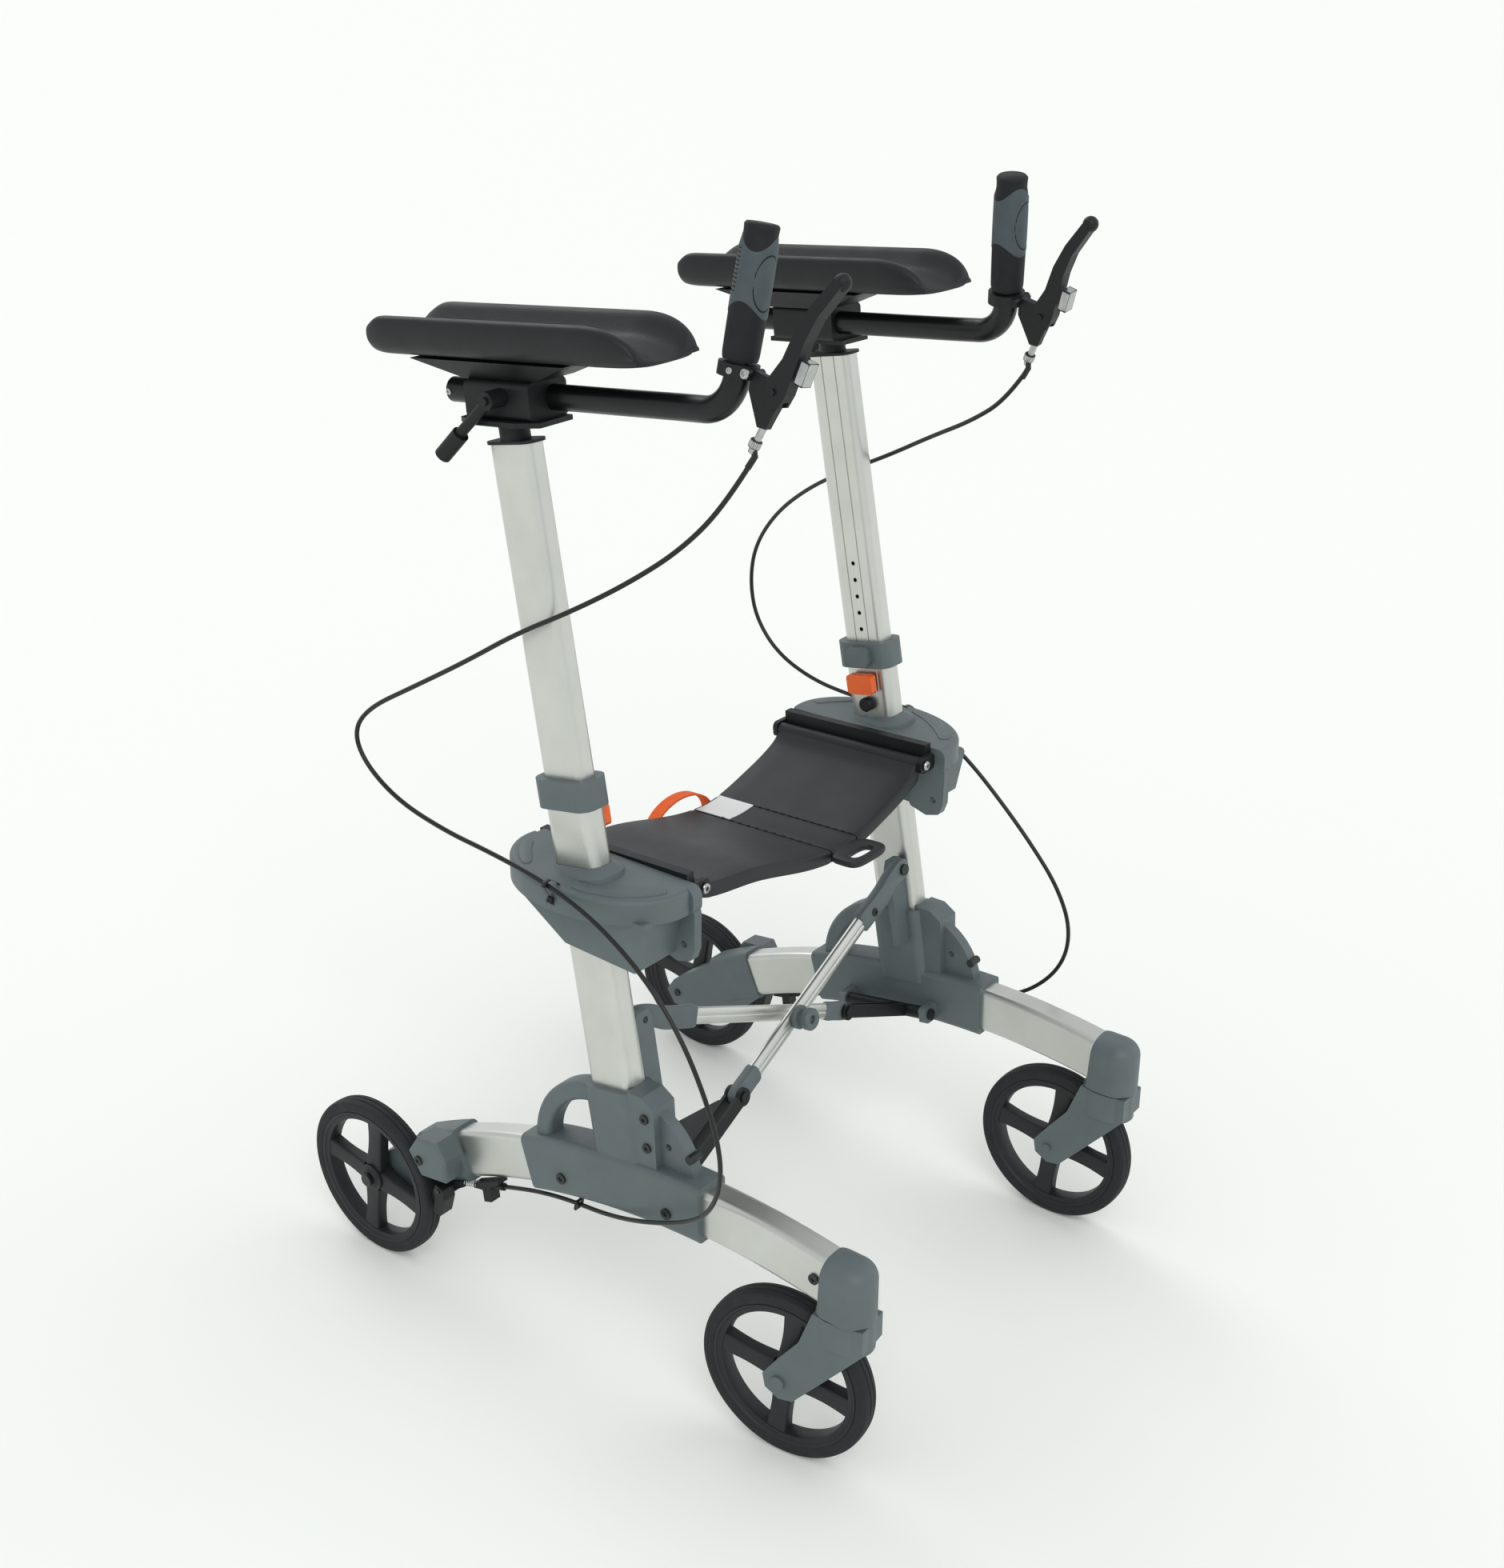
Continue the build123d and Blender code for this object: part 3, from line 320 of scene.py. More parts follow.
def finish_of(slot_name):
    """The material of a slot, made once."""
    if slot_name not in MATERIALS:
        MATERIALS[slot_name] = MAKERS[slot_name]()
    return MATERIALS[slot_name]


# ---- making meshes

def mirrored(points, side):
    """The points, turned into their mirror image for the right side."""
    return [Vector((-p.x, p.y, p.z)) for p in points] if side == "right" else points


def make_piece(name, points, faces, slot_name, body, look=None, side=None, smooth=30):
    """Closed mesh piece in the row frame, riding on a body."""
    mesh = bpy.data.meshes.new(name)
    mesh.from_pydata([tuple(p) for p in mirrored(points, side)], [], faces)
    work = bmesh.new()
    work.from_mesh(mesh)
    bmesh.ops.remove_doubles(work, verts=work.verts, dist=1e-6)
    bmesh.ops.recalc_face_normals(work, faces=work.faces)
    work.to_mesh(mesh)
    work.free()
    piece = bpy.data.objects.new(name, mesh)
    bpy.context.scene.collection.objects.link(piece)
    mesh.materials.append(finish_of(look or slot_name))
    mesh.shade_smooth()
    mesh.set_sharp_from_angle(angle=radians(smooth))
    if body:
        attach(piece, body)
    return piece


def loft(rings, close_ends=True):
    """Points of rings of the same count in one list, and the faces that join them."""
    count = len(rings[0])
    points = [p for ring in rings for p in ring]
    faces = []
    for r in range(len(rings) - 1):
        for i in range(count):
            j = (i + 1) % count
            a, b = r * count, (r + 1) * count
            faces.append((a + i, a + j, b + j, b + i))
    if close_ends:
        faces.append(tuple(reversed(range(count))))
        faces.append(tuple((len(rings) - 1) * count + i for i in range(count)))
    return points, faces


def loft_round(rings):
    """Loft whose last ring joins its first."""
    points, faces = loft(rings, False)
    count = len(rings[0])
    last = (len(rings) - 1) * count
    for i in range(count):
        j = (i + 1) % count
        faces.append((last + i, last + j, j, i))
    return points, faces


def lathe(profile, steps):
    """Surface turned about X from a closed profile of (x, radius)."""
    rings = []
    for k in range(steps):
        angle = tau * k / steps
        rings.append([Vector((x, r * cos(angle), r * sin(angle))) for x, r in profile])
    return loft_round(rings)


def both_halves(half):
    """A profile of (x, height) with its mirror image after it."""
    return half + [(-x, height) for x, height in reversed(half)]


def join(*shapes):
    """Several (points, faces) in one."""
    points, faces = [], []
    for more_points, more_faces in shapes:
        start = len(points)
        points += more_points
        faces += [tuple(start + i for i in face) for face in more_faces]
    return points, faces


def move(shape, matrix):
    """A shape placed by a matrix."""
    points, faces = shape
    return [matrix @ Vector(p) for p in points], faces


def rounded_rect(half_x, half_z, corner, steps=4):
    """Ring of (x, z) with round corners."""
    ring = []
    for quarter, (sx, sz) in enumerate(((1, 1), (-1, 1), (-1, -1), (1, -1))):
        for k in range(steps + 1):
            angle = pi / 2 * (quarter + k / steps)
            ring.append((sx * (half_x - corner) + corner * cos(angle),
                         sz * (half_z - corner) + corner * sin(angle)))
    return ring


def smooth_loop(points, steps=5):
    """Closed smooth outline through a few points, as (x, y)."""
    loop = []
    count = len(points)
    for i in range(count):
        a, b, c, d = (Vector(points[(i + k) % count]) for k in (-1, 0, 1, 2))
        for k in range(steps):
            t = k / steps
            loop.append(b + (c - a) * (t / 2) + (2 * a - 5 * b + 4 * c - d) * (t * t / 2)
                        + (3 * b - a - 3 * c + d) * (t ** 3 / 2))
    return loop


def inset(loop, amount):
    """The outline moved inwards by an amount."""
    count = len(loop)
    after = loop[1:] + loop[:1]
    turning = sum(a.x * b.y - b.x * a.y for a, b in zip(loop, after))
    sign = 1 if turning > 0 else -1
    moved = []
    for i in range(count):
        along = (after[i] - loop[i - 1]).normalized()
        moved.append(loop[i] + Vector((-along.y, along.x)) * amount * sign)
    return moved


def moulded_plate(outline, low, high, edge):
    """Plate between two heights with rounded edges, from a smooth outline in millimetres."""
    rings = []
    for height, back in ((low, edge), (low + edge * 0.3, edge * 0.3), (low + edge, 0), (high - edge, 0),
                         (high - edge * 0.3, edge * 0.3), (high, edge)):
        rings.append([Vector((p.x, p.y, height)) * MM for p in inset(outline, back)])
    return loft(rings)


def aimed(start, end):
    """Matrix that lays the X axis along a line, from its start, in millimetres."""
    way = Vector(end) - Vector(start)
    return Matrix.Translation(Vector(start) * MM) @ way.to_track_quat("X", "Z").to_matrix().to_4x4()


def screw_head(radius, height):
    """Pan head with a socket, along X from its seat, sizes in millimetres."""
    profile = [(0, 0), (0, radius * 0.98), (height * 0.5, radius), (height * 0.85, radius * 0.9),
               (height, radius * 0.7), (height, radius * 0.46), (height * 0.45, radius * 0.4),
               (height * 0.4, 0)]
    return lathe([(x * MM, r * MM + 1e-6) for x, r in profile], 24)


def knurled(profile, teeth, depth):
    """Turned part whose widest rings carry teeth, along X, sizes in millimetres."""
    steps = teeth * 4
    widest = max(r for x, r in profile)
    rings = []
    for k in range(steps):
        angle = tau * k / steps
        bite = depth if k % 4 in (0, 1) else 0
        cut = [(x, r - bite if r > widest * 0.93 else r) for x, r in profile]
        rings.append([Vector((x, r * cos(angle), r * sin(angle))) * MM for x, r in cut])
    return loft_round(rings)


def subdivide(piece, levels):
    """Round a piece off, the same in the view and in the render."""
    modifier = piece.modifiers.new("round", "SUBSURF")
    modifier.levels = levels
    modifier.render_levels = levels


def repeat_tree():
    """Geometry Nodes: copies of a shape along a line, each turned by a fixed step."""
    tree = bpy.data.node_groups.new("copies_on_line", "GeometryNodeTree")
    tree.interface.new_socket("Geometry", in_out="OUTPUT", socket_type="NodeSocketGeometry")
    for name, kind in (("Shape", "Object"), ("Count", "Int"), ("Start", "Vector"), ("Step", "Vector"),
                       ("Turn", "Vector"), ("Finish", "Material")):
        tree.interface.new_socket(name, in_out="INPUT", socket_type="NodeSocket" + kind)
    given = add_node(tree, "NodeGroupInput").outputs
    line = add_node(tree, "GeometryNodeMeshLine", None,
                    {"Count": given["Count"], "Start Location": given["Start"], "Offset": given["Step"]})
    shape = add_node(tree, "GeometryNodeObjectInfo", None, {"Object": given["Shape"]})
    index = add_node(tree, "GeometryNodeInputIndex")
    turn = add_node(tree, "ShaderNodeVectorMath", {"operation": "SCALE"},
                    {0: given["Turn"], "Scale": index.outputs[0]})
    copies = add_node(tree, "GeometryNodeInstanceOnPoints", None,
                      {"Points": line.outputs[0], "Instance": shape.outputs["Geometry"],
                       "Rotation": turn.outputs[0]})
    solid = add_node(tree, "GeometryNodeRealizeInstances", None, {0: copies.outputs[0]})
    finish = add_node(tree, "GeometryNodeSetMaterial", None,
                      {"Geometry": solid.outputs[0], "Material": given["Finish"]})
    add_node(tree, "NodeGroupOutput", None, {0: finish.outputs[0]})
    return tree


def repeated(shape, count, start, step, turn=(0, 0, 0)):
    """Points and faces of copies of a shape on a line, made by the Geometry Nodes tree."""
    tree = bpy.data.node_groups.get("copies_on_line") or repeat_tree()
    mesh = bpy.data.meshes.new("one")
    mesh.from_pydata([tuple(p) for p in shape[0]], [], shape[1])
    one = bpy.data.objects.new("one", mesh)
    carrier = bpy.data.objects.new("copies", bpy.data.meshes.new("copies"))
    for made in (one, carrier):
        bpy.context.scene.collection.objects.link(made)
    modifier = carrier.modifiers.new("copies", "NODES")
    modifier.node_group = tree
    values = {"Shape": one, "Count": count, "Start": start, "Step": step, "Turn": turn,
              "Finish": finish_of("plastic_black")}
    for item in tree.interface.items_tree:
        if item.in_out == "INPUT":
            modifier[item.identifier] = values[item.name]
    evaluated = carrier.evaluated_get(bpy.context.evaluated_depsgraph_get())
    result = bpy.data.meshes.new_from_object(evaluated)
    points = [v.co.copy() for v in result.vertices]
    faces = [tuple(f.vertices) for f in result.polygons]
    for made in (one, carrier):
        bpy.data.objects.remove(made)
    return points, faces


# ---- wheels

HUB_RADIUS, HUB_WIDTH, AXLE_BORE = 17 * MM, 27.5 * MM, 5.1 * MM
SPOKE_WIDTH, SPOKE_THICKNESS = 25 * MM, 17 * MM
SPOKE_ROOT = 15 * MM

def tyre_profile(radius, width, depth):
    """Tyre's section as (x, radius): round shoulders, a raised ridge each side and two grooves."""
    half = width / 2
    tread = both_halves([(-0.62, 0), (-0.36, 0), (-0.32, -1), (-0.24, -1), (-0.2, 0)])
    crown = [(half * x, radius + (dip - 1.4 * x ** 2) * MM) for x, dip in tread]
    wall = [(0.86, 1.7), (0.97, 4.2), (1.0, 7.0), (0.97, 8.0), (1.0, 8.8), (1.0, 10.5), (0.94, 12.5)]
    right = [(half * x, radius - drop * MM) for x, drop in wall] + [(half * 0.86, radius - depth)]
    return crown + both_halves(right)


def rim_profile(outer, width):
    """Rim and the lip that the tyre sits in, as (x, radius)."""
    steps = [(1, 0), (1, 2.5), (0.86, 4), (0.8, 9), (0.5, 10)]
    return both_halves([(x * width / 2, outer - drop * MM) for x, drop in steps])


def hub_profile(radius, width, bore):
    """Hub's barrel with a stepped boss at each end, as (x, radius)."""
    half = width / 2
    return both_halves([(-half, bore), (-half, bore + 5 * MM), (-half * 0.86, bore + 7 * MM),
                        (-half * 0.8, radius)])


def spoke(inner, outer, width, thick):
    """One broad spoke from hub to rim, waisted, with soft edges."""
    rings = []
    for k in range(9):
        t = k / 8
        bow = sin(pi * t)
        flat = rounded_rect(thick / 2 * (1 - 0.12 * bow), width / 2 * (1 - 0.16 * bow), 2.6 * MM)
        reach = inner + (outer - inner) * t
        rings.append([Vector((x, z, reach)) for x, z in flat])
    return loft(rings)


def wheel_place(joint):
    """Turn and place of a wheel whose axis is near X."""
    axis = joint_axis(joint)
    return Matrix.Translation(joint_place(joint)) @ Matrix.Rotation(atan2(axis.y, axis.x), 4, "Z")


def build_wheel(node, joint, sizes):
    """Tyre, and the core of rim, hub and spokes, in place of a CAD wheel."""
    place = wheel_place(joint)
    rim = sizes.tyre_radius - sizes.tyre_depth
    tyre = lathe(tyre_profile(sizes.tyre_radius - 0.2 * MM, sizes.tyre_width, sizes.tyre_depth), 128)
    made = make_piece(f"{node}_tyre", *move(tyre, place), "wheel", node)
    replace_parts(made, node)
    core = [lathe(rim_profile(rim, sizes.tyre_width - 1.5 * MM), 96),
            lathe(hub_profile(HUB_RADIUS, HUB_WIDTH, AXLE_BORE), 64)]
    for k in range(sizes.spokes):
        turn = Matrix.Rotation(tau * k / sizes.spokes + radians(8), 4, "X")
        core.append(move(spoke(SPOKE_ROOT, rim - 6 * MM, SPOKE_WIDTH, SPOKE_THICKNESS), turn))
    made = make_piece(f"{node}_core", *move(join(*core), place), "wheel", node, "wheel_core")
    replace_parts(made, node)


# ---- forearm pads

def pad_section(half, low, rim, floor, wall):
    """Closed section of the trough as (x, z), from the outer foot round over both lips."""
    deep = rim - floor
    right = [(half * 0.6, low), (half * 0.8, low + 2), (half * 0.94, low + 10),
             (half, low + 0.55 * (rim - low)), (half - 0.6, rim - deep * 0.22),
             (half - wall * 0.28, rim - deep * 0.05), (half - wall * 0.6, rim),
             (half - wall, rim - deep * 0.1), (half - wall * 1.35, rim - deep * 0.36),
             (half - wall * 1.9, floor + deep * 0.28), (half * 0.36, floor + deep * 0.06)]
    left = [(-x, z) for x, z in reversed(right)]
    return right + [(0, floor)] + left


def pad_stations():
    """(y, half width, foot, rim, floor, wall) along the trough, in millimetres, from nose to heel."""
    stations = []
    front, rear = -186, 153
    for k in range(41):
        t = (k / 40) ** 1.25
        y = front + (rear - front) * t
        nose = max(0.0, 1 - (y - front) / 62)
        heel = max(0.0, 1 - (rear - y) / 22)
        nose_drop = 1 - (1 - nose ** 2) ** 0.5
        heel_drop = 1 - (1 - heel ** 2) ** 0.5
        half = 53.8 - 9 * nose ** 3 - 2.5 * heel_drop
        rim = 77.6 - 33 * nose_drop - 9 * heel_drop
        floor = 56 - 13 * nose ** 1.6 - 1.5 * heel_drop
        foot = 37.6 + 2 * nose ** 4 + 1.5 * heel_drop
        stations.append((y, half, foot, max(rim, floor + 1.5), floor, 15 - 3 * nose))
    return stations


def pad_end_faces(first):
    """Faces that close a trough's end wall by wall, so that it stays flat when it is rounded."""
    wall = [(5, 6, 7), (4, 5, 7, 8), (3, 4, 8, 9), (2, 3, 9, 10), (1, 2, 10, 11), (0, 1, 11)]
    both = wall + [tuple(22 - i for i in face) for face in wall] + [(0, 11, 22)]
    return [tuple(first + i for i in face) for face in both]


def build_pad(side):
    """Forearm trough of foam, with rounded ends."""
    sections = [(y, [Vector(p) for p in pad_section(*sizes)]) for y, *sizes in pad_stations()]
    (front, nose), (rear, heel) = sections[0], sections[-1]
    sections = [(front - 1.3, inset(nose, 1.4)), (front - 0.8, inset(nose, 0.5))] + sections
    sections += [(rear + 1.1, inset(heel, 0.9)), (rear + 1.7, inset(heel, 2.6))]
    rings = [[Vector((p.x, y, p.y)) * MM for p in section] for y, section in sections]
    points, faces = loft(rings, False)
    faces += pad_end_faces(0) + pad_end_faces((len(rings) - 1) * len(rings[0]))
    piece = make_piece(f"{side}_pad_foam", [ARM @ p for p in points], faces, "pad_foam",
                       f"{side}_arm_support", side=side, smooth=60)
    subdivide(piece, 2)
    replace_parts(piece, f"{side}_arm_pad")


# ---- grips

GRIP_LENGTH = 117.9


def grip_radius(z):
    """Radius of the bare grip at a height, in millimetres: a thick foot, a full middle and a narrow cap."""
    t = z / GRIP_LENGTH
    foot = 0.9 * max(0.0, 1 - t / 0.06) ** 2
    cap = 1.5 * min(1.0, max(0.0, (t - 0.82) / 0.08))
    lip = 0.7 * max(0.0, (t - 0.93) / 0.07)
    edge = 1.8 * max(0.0, (t - 0.985) / 0.015) ** 2
    return 16.9 + 0.6 * sin(pi * t) - foot - cap + lip - edge


def overlay_shape():
    """Pale soft overlay with wavy ends, ribs for the palm and an oval line for the thumb."""
    rings = []
    count = 84
    under = 15
    palm, thumb = 1.0, -1.48
    for k in range(96):
        angle = tau * k / 96
        low = 44 + 7 * cos(2 * (angle + 0.19))
        high = 102 - 7 * cos(2 * (angle + 0.46))
        ribbed = max(0.0, cos(angle - palm)) ** 4
        ring = [Vector((under * cos(angle), under * sin(angle), low))]
        for i in range(count + 1):
            z = low + (high - low) * i / count
            end = min(1.0, i / 2, (count - i) / 2)
            rib = 0.7 * ribbed * (sin(tau * z / 3.7) - 1) if 58 < z < 98 else 0
            across = ((angle - thumb + pi) % tau - pi) * 17.6 / 14
            oval = (across ** 2 + ((z - 69) / 24) ** 2) ** 0.5
            line = 0.8 * max(0.0, 1 - abs(oval - 1) / 0.09)
            r = grip_radius(z) - 0.4 + 0.85 * end + rib - line
            ring.append(Vector((r * cos(angle), r * sin(angle), z)))
        ring.append(Vector((under * cos(angle), under * sin(angle), high)))
        rings.append([p * MM for p in ring])
    return loft_round(rings)


def build_grip(side):
    """Two-part grip: a black core with closed round top and the overlay round its middle."""
    rings = []
    for k in range(61):
        z = GRIP_LENGTH * k / 60
        r = grip_radius(z)
        rings.append([Vector((r * cos(tau * i / 48), r * sin(tau * i / 48), z)) * MM for i in range(48)])
    piece = make_piece(f"{side}_grip_rubber", *move(loft(rings), GRIP), "grip_rubber",
                       f"{side}_handlebar", side=side, smooth=50)
    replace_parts(piece, f"{side}_grip")
    make_piece(f"{side}_grip_overlay", *move(overlay_shape(), GRIP), "grip_rubber",
               f"{side}_handlebar", "grip_overlay", side, 50)


def steel_piece(name, shape, body, side, smooth=30):
    """Small bright part, in the screws' slot."""
    make_piece(f"{side}_{name}", *shape, "black_screws", f"{side}_{body}", "steel", side, smooth)


def build_brake_fittings(side):
    """Cable ferrule, bright adjuster with its knurled nut, the parking latch and the clamp's screws."""
    barrel = lathe([(0, 1e-6), (0, 3.5 * MM), (26 * MM, 3.5 * MM), (26.6 * MM, 3 * MM),
                    (26.6 * MM, 1e-6)], 24)
    nut = knurled([(0, 0.01), (0, 5.2), (1, 6), (6.4, 6), (7.6, 5), (7.6, 0.01)], 18, 0.5)
    steel = join(move(barrel, GRIP @ aimed((0, -38, -51), (0, -29, -76))),
                 move(nut, GRIP @ aimed((0, -33, -64), (0, -30.6, -71))),
                 move(screw_head(4.8, 2.6), GRIP @ aimed((12.2, -17, -8.5), (20, -17, -8.5))),
                 move(screw_head(3.2, 2), GRIP @ aimed((17.8, -4, -8.5), (25, -5, -8.5))))
    jacket_end = [GRIP @ (Vector((0, -30.6, -71)) * MM), Vector(CABLE_ROUTES[side][0]) * MM,
                  Vector((232.4, -213, 1036)) * MM]
    ferrule = loft(tube_rings(jacket_end, 3.1 * MM, 16))
    make_piece(f"{side}_cable_ferrule", *ferrule, "cable_black", f"{side}_handlebar", side=side)
    steel_piece("brake_adjuster", steel, "handlebar", side)
    flat = [Vector(p) for p in rounded_rect(7.3, 11.2, 2.5)]
    latch = moulded_plate(flat, -4.7, 4.7, 1.2)
    turn = Matrix.Translation(Vector((0, -72.5, 4)) * MM) @ Matrix.Rotation(radians(102), 4, "X")
    steel_piece("parking_latch", move(latch, GRIP @ turn), "brake_lever", side)
    end_screw = move(screw_head(3.4, 2), ARM @ aimed((12, 87, 0), (20, 87, 0)))
    steel_piece("bar_screw", end_screw, "handlebar", side)


# ---- cables

ALONG_THE_RAIL = [(292, -66, 200), (285, -10, 188), (282, 28, 179), (281, 66, 168.7), (281, 104, 155.6)]
CABLE_ROUTES = {
    "right": [(231, -220, 1047), (238, -192, 1000), (250, -150, 953), (264, -96, 913), (279, -35, 876),
              (292, 30, 842), (302, 92, 802), (313, 160, 762), (322, 221, 727), (327, 243, 697),
              (328, 228, 664), (328, 180, 634), (326, 112, 618), (323, 50, 611), (322, -12, 602),
              (322, -68, 587), (327, -118, 569), (332, -168, 541), (336, -211, 500), (338, -243, 446),
              (337, -262, 388), (332, -257, 337), (321, -229, 288), (309, -184, 252),
              (302, -122, 222)] + ALONG_THE_RAIL,
    "left": [(231, -220, 1047), (240, -190, 1008), (254, -138, 974), (269, -76, 944), (282, -10, 909),
             (294, 56, 878), (305, 120, 844), (314, 178, 800), (322, 218, 748), (328, 231, 696),
             (329, 222, 648), (328, 186, 608), (326, 128, 586), (324, 66, 580), (323, 0, 580),
             (323, -62, 570), (328, -112, 535), (333, -158, 490), (336, -200, 446), (338, -238, 400),
             (338, -260, 350), (333, -256, 302), (322, -226, 262), (309, -180, 238),
             (301, -122, 219)] + ALONG_THE_RAIL,
}


def smooth_path(route):
    """Points on the smooth curve that a route controls."""
    curve = bpy.data.curves.new("route", "CURVE")
    curve.dimensions = "3D"
    spline = curve.splines.new("NURBS")
    spline.points.add(len(route) - 1)
    for point, place in zip(spline.points, route):
        point.co = (*[c * MM for c in place], 1)
    spline.order_u = 3
    spline.use_endpoint_u = True
    spline.resolution_u = 8
    holder = bpy.data.objects.new("route", curve)
    bpy.context.scene.collection.objects.link(holder)
    line = bpy.data.meshes.new_from_object(holder.evaluated_get(bpy.context.evaluated_depsgraph_get()))
    points = [v.co.copy() for v in line.vertices]
    bpy.data.objects.remove(holder)
    return points


def tube_rings(path, radius, sides=14):
    """Rings of a tube that follows a path without twisting."""
    rings = []
    across = Vector((1, 0, 0))
    for index, place in enumerate(path):
        ahead = path[min(index + 1, len(path) - 1)]
        behind = path[max(index - 1, 0)]
        forward = (ahead - behind).normalized()
        across = (across - forward * across.dot(forward)).normalized()
        other = forward.cross(across)
        rings.append([place + (across * cos(tau * i / sides) + other * sin(tau * i / sides)) * radius
                      for i in range(sides)])
    return rings


def build_cable(side, radius):
    """Brake cable in three stretches, none of them riding on a body."""
    path = smooth_path(CABLE_ROUTES[side])
    rings = tube_rings(path, radius)
    cuts = [0, len(path) // 6, len(path) // 3, len(path)]
    for part in range(3):
        low = cuts[part]
        high = min(cuts[part + 1] + 1, len(path))
        piece = make_piece(f"{side}_cable_{part + 1}", *loft(rings[low:high]), "cable_black", None,
                           side=side, smooth=60)
        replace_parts(piece, f"{side}_brake_cable")
        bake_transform(piece)


def helix(start, end, coil_radius, wire, turns):
    """Wire spring between two points."""
    axis = end - start
    forward = axis.normalized()
    across = Vector((1, 0, 0))
    across = (across - forward * across.dot(forward)).normalized()
    other = forward.cross(across)
    path = []
    steps = int(turns * 16)
    for k in range(steps + 1):
        angle = tau * turns * k / steps
        around = (across * cos(angle) + other * sin(angle)) * coil_radius
        path.append(start + axis * (k / steps) + around)
    return loft(tube_rings(path, wire, 8))


def build_spring(side):
    """Return spring round the cable's inner wire, between the adjuster and the shoe's tail."""
    start = Vector((281, 134, 145.4)) * MM
    end = Vector((289, 160, 141)) * MM
    steel_piece("brake_spring", helix(start, end, 3.4 * MM, 0.6 * MM, 11), "frame", side, 60)
    wire = loft(tube_rings([start, start.lerp(end, 0.5), end], 0.8 * MM, 8))
    steel_piece("brake_wire", wire, "frame", side, 60)


# ---- seat

SEAT_TILT = radians(2)
SEAT_HINGE = (0, -22, 575)
SEAT_EDGE = 197.5
SEAT_LINE = [(-SEAT_EDGE, 581), (-180, 571), (-100, 558), (0, 534), (60, 530), (125, 545), (178, 564),
             (SEAT_EDGE, 581)]
SEAT_HALF = 101.6
SEAT_THICK = 16
STRIP = (26.8, 73.2)
STRIP_MIDDLE = 50
HANDLE_HEIGHT = 523
BARREL = (200, 575)
BARREL_END, BARREL_RADIUS = 101.4, 8


def seat_place(x, y, z):
    """Point of the seat, from its own level frame into the row frame, in metres."""
    dy, dz = y, z - SEAT_HINGE[2]
    return Vector((x, SEAT_HINGE[1] + dy * cos(SEAT_TILT) + dz * sin(SEAT_TILT),
                   SEAT_HINGE[2] - dy * sin(SEAT_TILT) + dz * cos(SEAT_TILT))) * MM


def seat_top(x):
    """Height of the sagging seat across its width, smooth through a few points."""
    last = len(SEAT_LINE) - 1
    i = max(k for k in range(last) if x >= SEAT_LINE[k][0] or k == 0)
    slopes = []
    for k in (i, i + 1):
        a, b = SEAT_LINE[max(k - 1, 0)], SEAT_LINE[min(k + 1, last)]
        slopes.append((b[1] - a[1]) / (b[0] - a[0]))
    (x0, z0), (x1, z1) = SEAT_LINE[i], SEAT_LINE[i + 1]
    step = x1 - x0
    t = (x - x0) / step
    return (z0 * (2 * t ** 3 - 3 * t ** 2 + 1) + z1 * (3 * t ** 2 - 2 * t ** 3)
            + step * slopes[0] * (t ** 3 - 2 * t ** 2 + t) + step * slopes[1] * (t ** 3 - t ** 2))


def panel_shape(x_low, x_high, stations):
    """Slice of the seat: a flat top, rounded front and back edges and a plain skirt."""
    edge = [(0, 0), (0.25, 0), (0.5, 0), (0.75, 0), (0.955, 0), (0.974, -0.4), (0.987, -1.2), (0.996, -2.5),
            (1, -4.2), (1, -9), (1, -13.6), (0.994, -15.4), (0.975, -SEAT_THICK), (0.7, -SEAT_THICK),
            (0.35, -SEAT_THICK)]
    loop = edge + [(0, -SEAT_THICK)] + [(-y, z) for y, z in reversed(edge[1:])]
    rings = []
    for k in range(stations):
        t = k / (stations - 1)
        x = x_low + (x_high - x_low) * t
        drop = 0.9 * max(0.0, 1 - min(t, 1 - t) * (x_high - x_low) / 1.6)
        rise = (seat_top(x + 1) - seat_top(x - 1)) / 2
        ring = []
        for y, z in loop:
            lean = -z * rise * 0.6
            ring.append(seat_place(min(max(x + lean, x_low), x_high), y * SEAT_HALF * (1 - 0.004 * drop),
                                   seat_top(x) + z - (drop if z > -SEAT_THICK / 2 else -drop * 0.3)))
        rings.append(ring)
    return loft(rings)


def barrel_shape():
    """Hinge barrel along the outer edge of a seat half."""
    x, z = BARREL
    rings = []
    for k in range(13):
        y = -BARREL_END + 2 * BARREL_END * k / 12
        turns = [tau * i / 24 for i in range(24)]
        rings.append([seat_place(x + BARREL_RADIUS * cos(turn), y, z + BARREL_RADIUS * sin(turn))
                      for turn in turns])
    return loft(rings)


